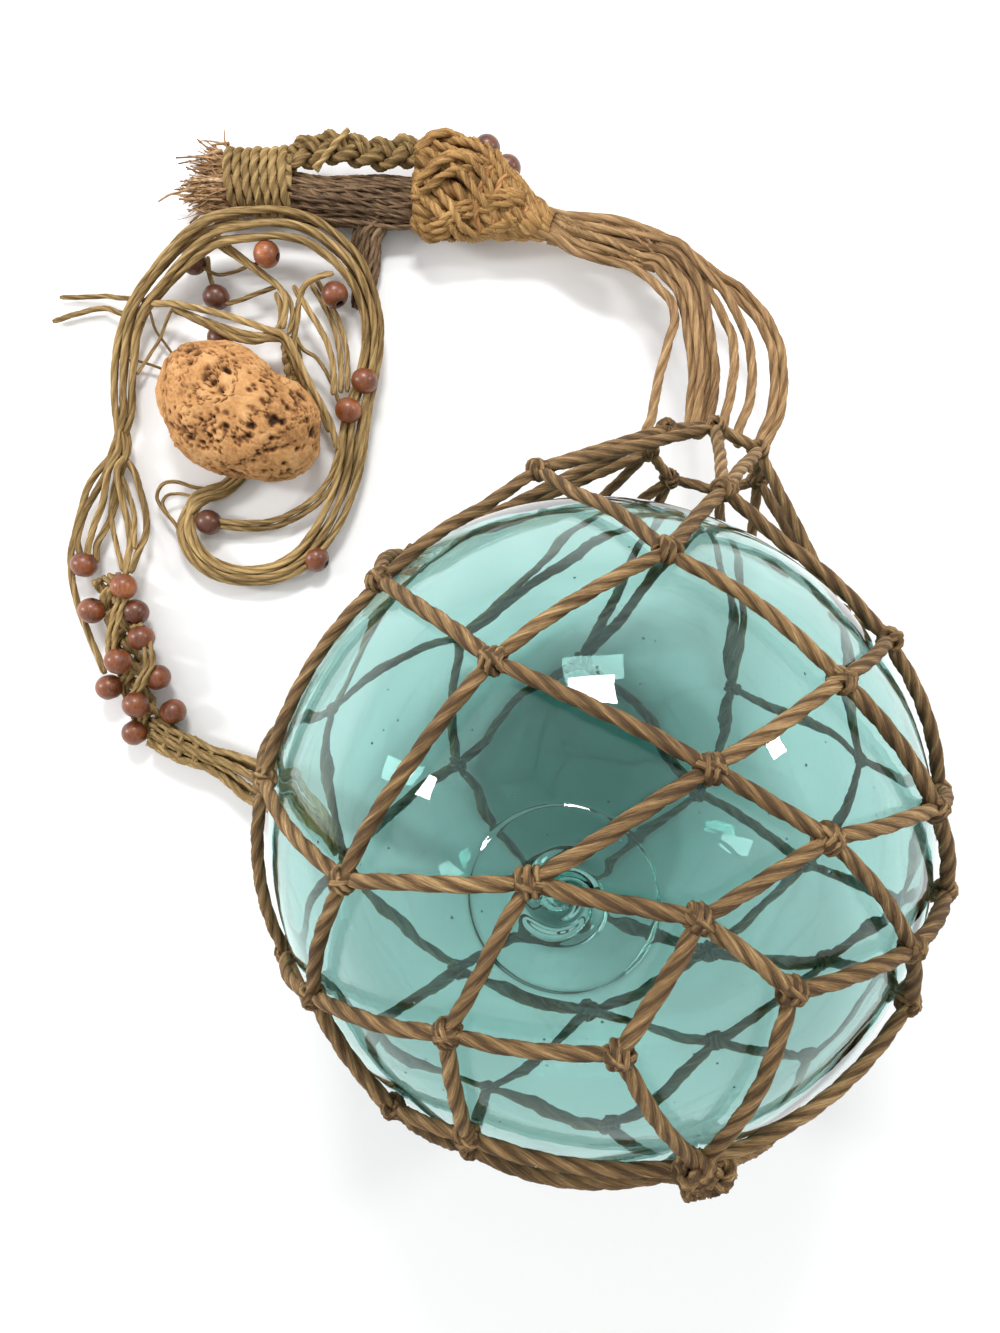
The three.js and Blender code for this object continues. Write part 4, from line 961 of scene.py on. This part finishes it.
# ---- Net ------------------------------------------------------------------------------------
# Three-ply jute twine, netted in seven meshes round and seven rows of knots, drawn in at the
# mouth and gathered in one big knot at the bottom. Rows and columns follow the circles round
# and through those two points, as a sleeve of net lies on a ball when its ends are gathered.
net_jute = jute("Net twine", (80, 60, 38), (140, 110, 72), (200, 168, 120), roughness=0.8,
                Coarse=1.6, Fine=6.0, Groove=0.6, Relief=1.1)
twine_radius = 2.1
meshes_round = 7
net_mouth = unit(np.array([0.085, 0.859, -0.505]))
net_bottom = unit(np.array([0.145, -0.789, 0.597]))
row_reach = [-0.27, 0.29, 0.66, 0.97, 1.14, 1.4, 1.71]
row_lift = [6, 1, 0, 0, 0, 0, 0]
# How far a crossing lies from its place in an even net, by row and column.
pulled = {
    (0, 13): [3, 0, 4], (0, 1): [-12, -4, 14], (1, 12): [5, 1, 6], (1, 0): [0, -3, 3], (1, 2): [-3, 2, 5],
    (2, 11): [3, 0, 7], (3, 12): [-3, -6, -3], (3, 0): [3, 1, 0], (3, 2): [1, 2, -2], (4, 11): [-2, -2, -4],
    (4, 1): [-5, 0, 3], (5, 0): [-1, 4, 0], (5, 2): [0, -7, -2], (5, 10): [6, 2, 9], (6, 11): [0, -3, -3],
    (6, 13): [6, 2, 1], (6, 1): [-5, 2, 2],
}
first_column = math.radians(174.3)
lean, lean_per_row = -0.038, -0.064
hidden_row_shift, hidden_column_shift = -0.25, 0.085
foot_spread, foot_reach, foot_clear = math.radians(8), math.radians(25), math.radians(21.5)
twine_path = ball_radius + 0.5 + 0.3 + 2.2 + 0.3


def turned_from_foot(v, angle):
    """A direction set at an angle from straight down, on the same bearing."""
    level = unit(v * [1, 1, 0])
    return level * np.sin(angle)[..., None] + [0, 0, -1] * np.cos(angle)[..., None]


def net_direction(reach, row, column):
    """The direction of a crossing: the circles through the mouth and bottom are spread evenly in
    angle, the circles round them evenly in the logarithm of their ratio of distances."""
    turn = column * math.pi / meshes_round
    hidden = ((1 - math.cos(turn)) / 2) ** 2
    size = math.exp(reach + (lean + lean_per_row * (row - 3)) * math.sin(turn) + hidden_row_shift * hidden)
    ratio = size * np.exp(1j * (first_column + turn + hidden_column_shift * hidden))
    mouth, bottom = (complex(v[0], v[1]) / (1 + v[2]) for v in (net_mouth, net_bottom))
    spot = (mouth - ratio * bottom) / (1 - ratio)
    square = abs(spot) ** 2
    v = np.array([2 * spot.real, 2 * spot.imag, 1 - square]) / (1 + square)
    angle = np.arccos(-v[2])
    return turned_from_foot(v, angle + foot_spread * np.exp(-(angle / foot_reach) ** 2))


ring_centre = np.array([42.0, 119, -29])
ring_facing = unit(np.array([0.25, 0.85, -0.3]))
ring_radius = 20.0


def knot_place(row, column):
    """A knot's place from the ball's middle; row -1 is the drawn-in ring of the mouth."""
    if row < 0:
        outward = net_direction(-3, 0, column) - net_mouth
        return ring_centre + ring_radius * unit(outward - ring_facing * (outward @ ring_facing))
    hidden = ((1 - math.cos(column * math.pi / meshes_round)) / 2) ** 2
    stand = twine_path + row_lift[row] * (1 - hidden)
    place = net_direction(row_reach[row], row, column) * stand
    return unit(place + pulled.get((row, column % (2 * meshes_round)), [0, 0, 0])) * stand


gather = unit(np.array([0.2, -0.75, 0.62])) * 105.8


def taut(a, b, step):
    """Twine drawn between two knots: straight where it clears the glass, else laid on it, and
    kept clear of the foot."""
    t = np.linspace(0, 1, max(8, round(np.linalg.norm(b - a) / step)))[:, None]
    path = a + (b - a) * t
    far = np.linalg.norm(path, axis=1, keepdims=True)
    path = path * np.maximum(1, twine_path / far)
    far = np.maximum(far, twine_path)
    angle = np.arccos(np.clip(-path[:, 2] / far[:, 0], -1, 1))
    clear = turned_from_foot(path / far, np.maximum(angle, foot_clear)) * far
    return np.where(angle[:, None] < foot_clear, clear, path)


def wound_knot(place, up, axis, turns, width, radius, twine, begin, sides, seed):
    """A tight winding of twine about an axis lying on the ball, its ends tucked inside."""
    other = unit(np.cross(up, axis))
    angle = np.linspace(0, 2 * np.pi * turns, max(12, int(15 * turns)))
    t = angle / angle[-1]
    tuck = 1 - 0.75 * np.exp(-(np.minimum(t, 1 - t) * turns / 0.16) ** 2)
    path = (place + axis * ((t - 0.5) * width)[:, None]
            + other * (radius * tuck * np.cos(angle + begin))[:, None]
            + up * (0.85 * radius * tuck * np.sin(angle + begin))[:, None])
    outward = path - place - axis * ((path - place) @ axis)[:, None]
    return laid(path, twine, plies=2, pitch=11, sides=sides, deep=0.4, begin=seed, up=outward + 1e-6,
                shade=0.6, lay=0.6)


def knotted_net():
    """All the net's twines and knots, made finer in front than at the back."""
    draw = np.random.default_rng(51)
    last, columns = len(row_reach) - 1, 2 * meshes_round
    skins, knots = [], []
    for row in range(-1, last + 1):
        for column in range(0 if row % 2 else 1, columns, 2):
            here = knot_place(row, column)
            hidden = ((1 - math.cos(column * math.pi / meshes_round)) / 2) ** 2
            knots.append((row, column, here, hidden))
            if row < last:
                links = [knot_place(row + 1, column - 1), knot_place(row + 1, column + 1)]
            else:
                links = [gather]
            if row < 0:
                links.append(knot_place(row, column + 2))
            for there in links:
                step, sides = (1.0, 12) if hidden < 0.35 else (1.7, 8)
                path = taut(here, there, step)
                run = run_of(path)
                side = unit(np.cross(path, np.gradient(path, axis=0)))
                sway = 0.35 * np.sin(run / 9 + draw.uniform(0, 6)) * np.sin(np.pi * run / run[-1])
                near_end = np.exp(-(np.minimum(run, run[-1] - run) / 3.5) ** 2)
                radius = twine_radius * draw.uniform(0.92, 1.06) * (1 - 0.3 * near_end)
                skins.append(laid(path + side * sway[:, None], radius, plies=3, pitch=27, sides=sides,
                                  deep=0.38, begin=draw.uniform(0, 6), up=path,
                                  shade=draw.uniform(0.35, 0.75), lay=0.85))
    for row, column, here, hidden in knots:
        up = unit(here)
        east = unit(np.cross(up, net_mouth - up * (net_mouth @ up)))
        north = np.cross(up, east)
        sides = 10 if hidden < 0.35 else 6
        slant = draw.uniform(-0.5, 0.9)
        first = east * math.cos(slant) + north * math.sin(slant)
        second = north * math.cos(slant) - east * math.sin(slant)
        skins.append(wound_knot(here, up, first, 2.6, 4.6, 2.75, 1.3, draw.uniform(0, 6), sides,
                                draw.uniform(0, 6)))
        skins.append(wound_knot(here, up, unit(second + 0.4 * first), 1.4, 2.6, 3.1, 1.35, draw.uniform(0, 6),
                                sides, draw.uniform(0, 6)))
    up = unit(gather)
    east = unit(np.cross(up, net_mouth))
    north = np.cross(up, east)
    for k in range(6):
        slant = k * 1.1
        axis = east * math.cos(slant) + north * math.sin(slant)
        aside = (east * math.cos(2.1 * k) + north * math.sin(2.1 * k)) * 3.2
        spot = gather + aside + up * (0.5 * (k % 3) - 0.5)
        skins.append(wound_knot(spot, up, axis, 2.4, 6.5, 4.2, 1.9, k, 10, 1.3 * k))
    return [(skin[0] + ball_centre, *skin[1:]) for skin in skins]


piece("knotted_net", knotted_net(), net_jute, ["net"])

# ---- Table and light ------------------------------------------------------------------------
# A plain white table under soft, even light, with windows that glint on the glass.
table_half, table_height = 2, -0.0003
table_top = bpy.data.meshes.new("table")
table_top.from_pydata([(x * table_half, y * table_half, table_height)
                       for x, y in ((-1, -1), (1, -1), (1, 1), (-1, 1))], [], [(0, 1, 2, 3)])
table = bpy.data.objects.new("table", table_top)
bpy.context.scene.collection.objects.link(table)
white, _, _ = finish("White table", {"Base Color": (0.92, 0.92, 0.92, 1), "Roughness": 0.9})
table_top.materials.append(white)

sky = bpy.data.worlds.new("Studio")
bpy.context.scene.world = sky
sky.use_nodes = True
sky.node_tree.nodes["Background"].inputs["Color"].default_value = (1, 1, 1, 1)
sky.node_tree.nodes["Background"].inputs["Strength"].default_value = 0.85


def window(name, place, size, power):
    """A square lamp facing the ball."""
    lamp = bpy.data.objects.new(name, bpy.data.lights.new(name, "AREA"))
    lamp.data.shape = "RECTANGLE"
    lamp.data.size, lamp.data.size_y = size
    lamp.data.energy = power
    lamp.location = place
    lamp.rotation_euler = (Vector((0, 0, 0.09)) - lamp.location).to_track_quat("-Z", "Y").to_euler()
    bpy.context.scene.collection.objects.link(lamp)


window("North window", (-0.05, 0.75, 0.8), (0.25, 0.16), 6)
window("West window", (-1.0, 0.25, 0.6), (0.12, 0.3), 5)
window("East window", (0.9, 0.45, 0.7), (0.12, 0.12), 3)
bpy.context.scene.view_settings.view_transform = "Standard"
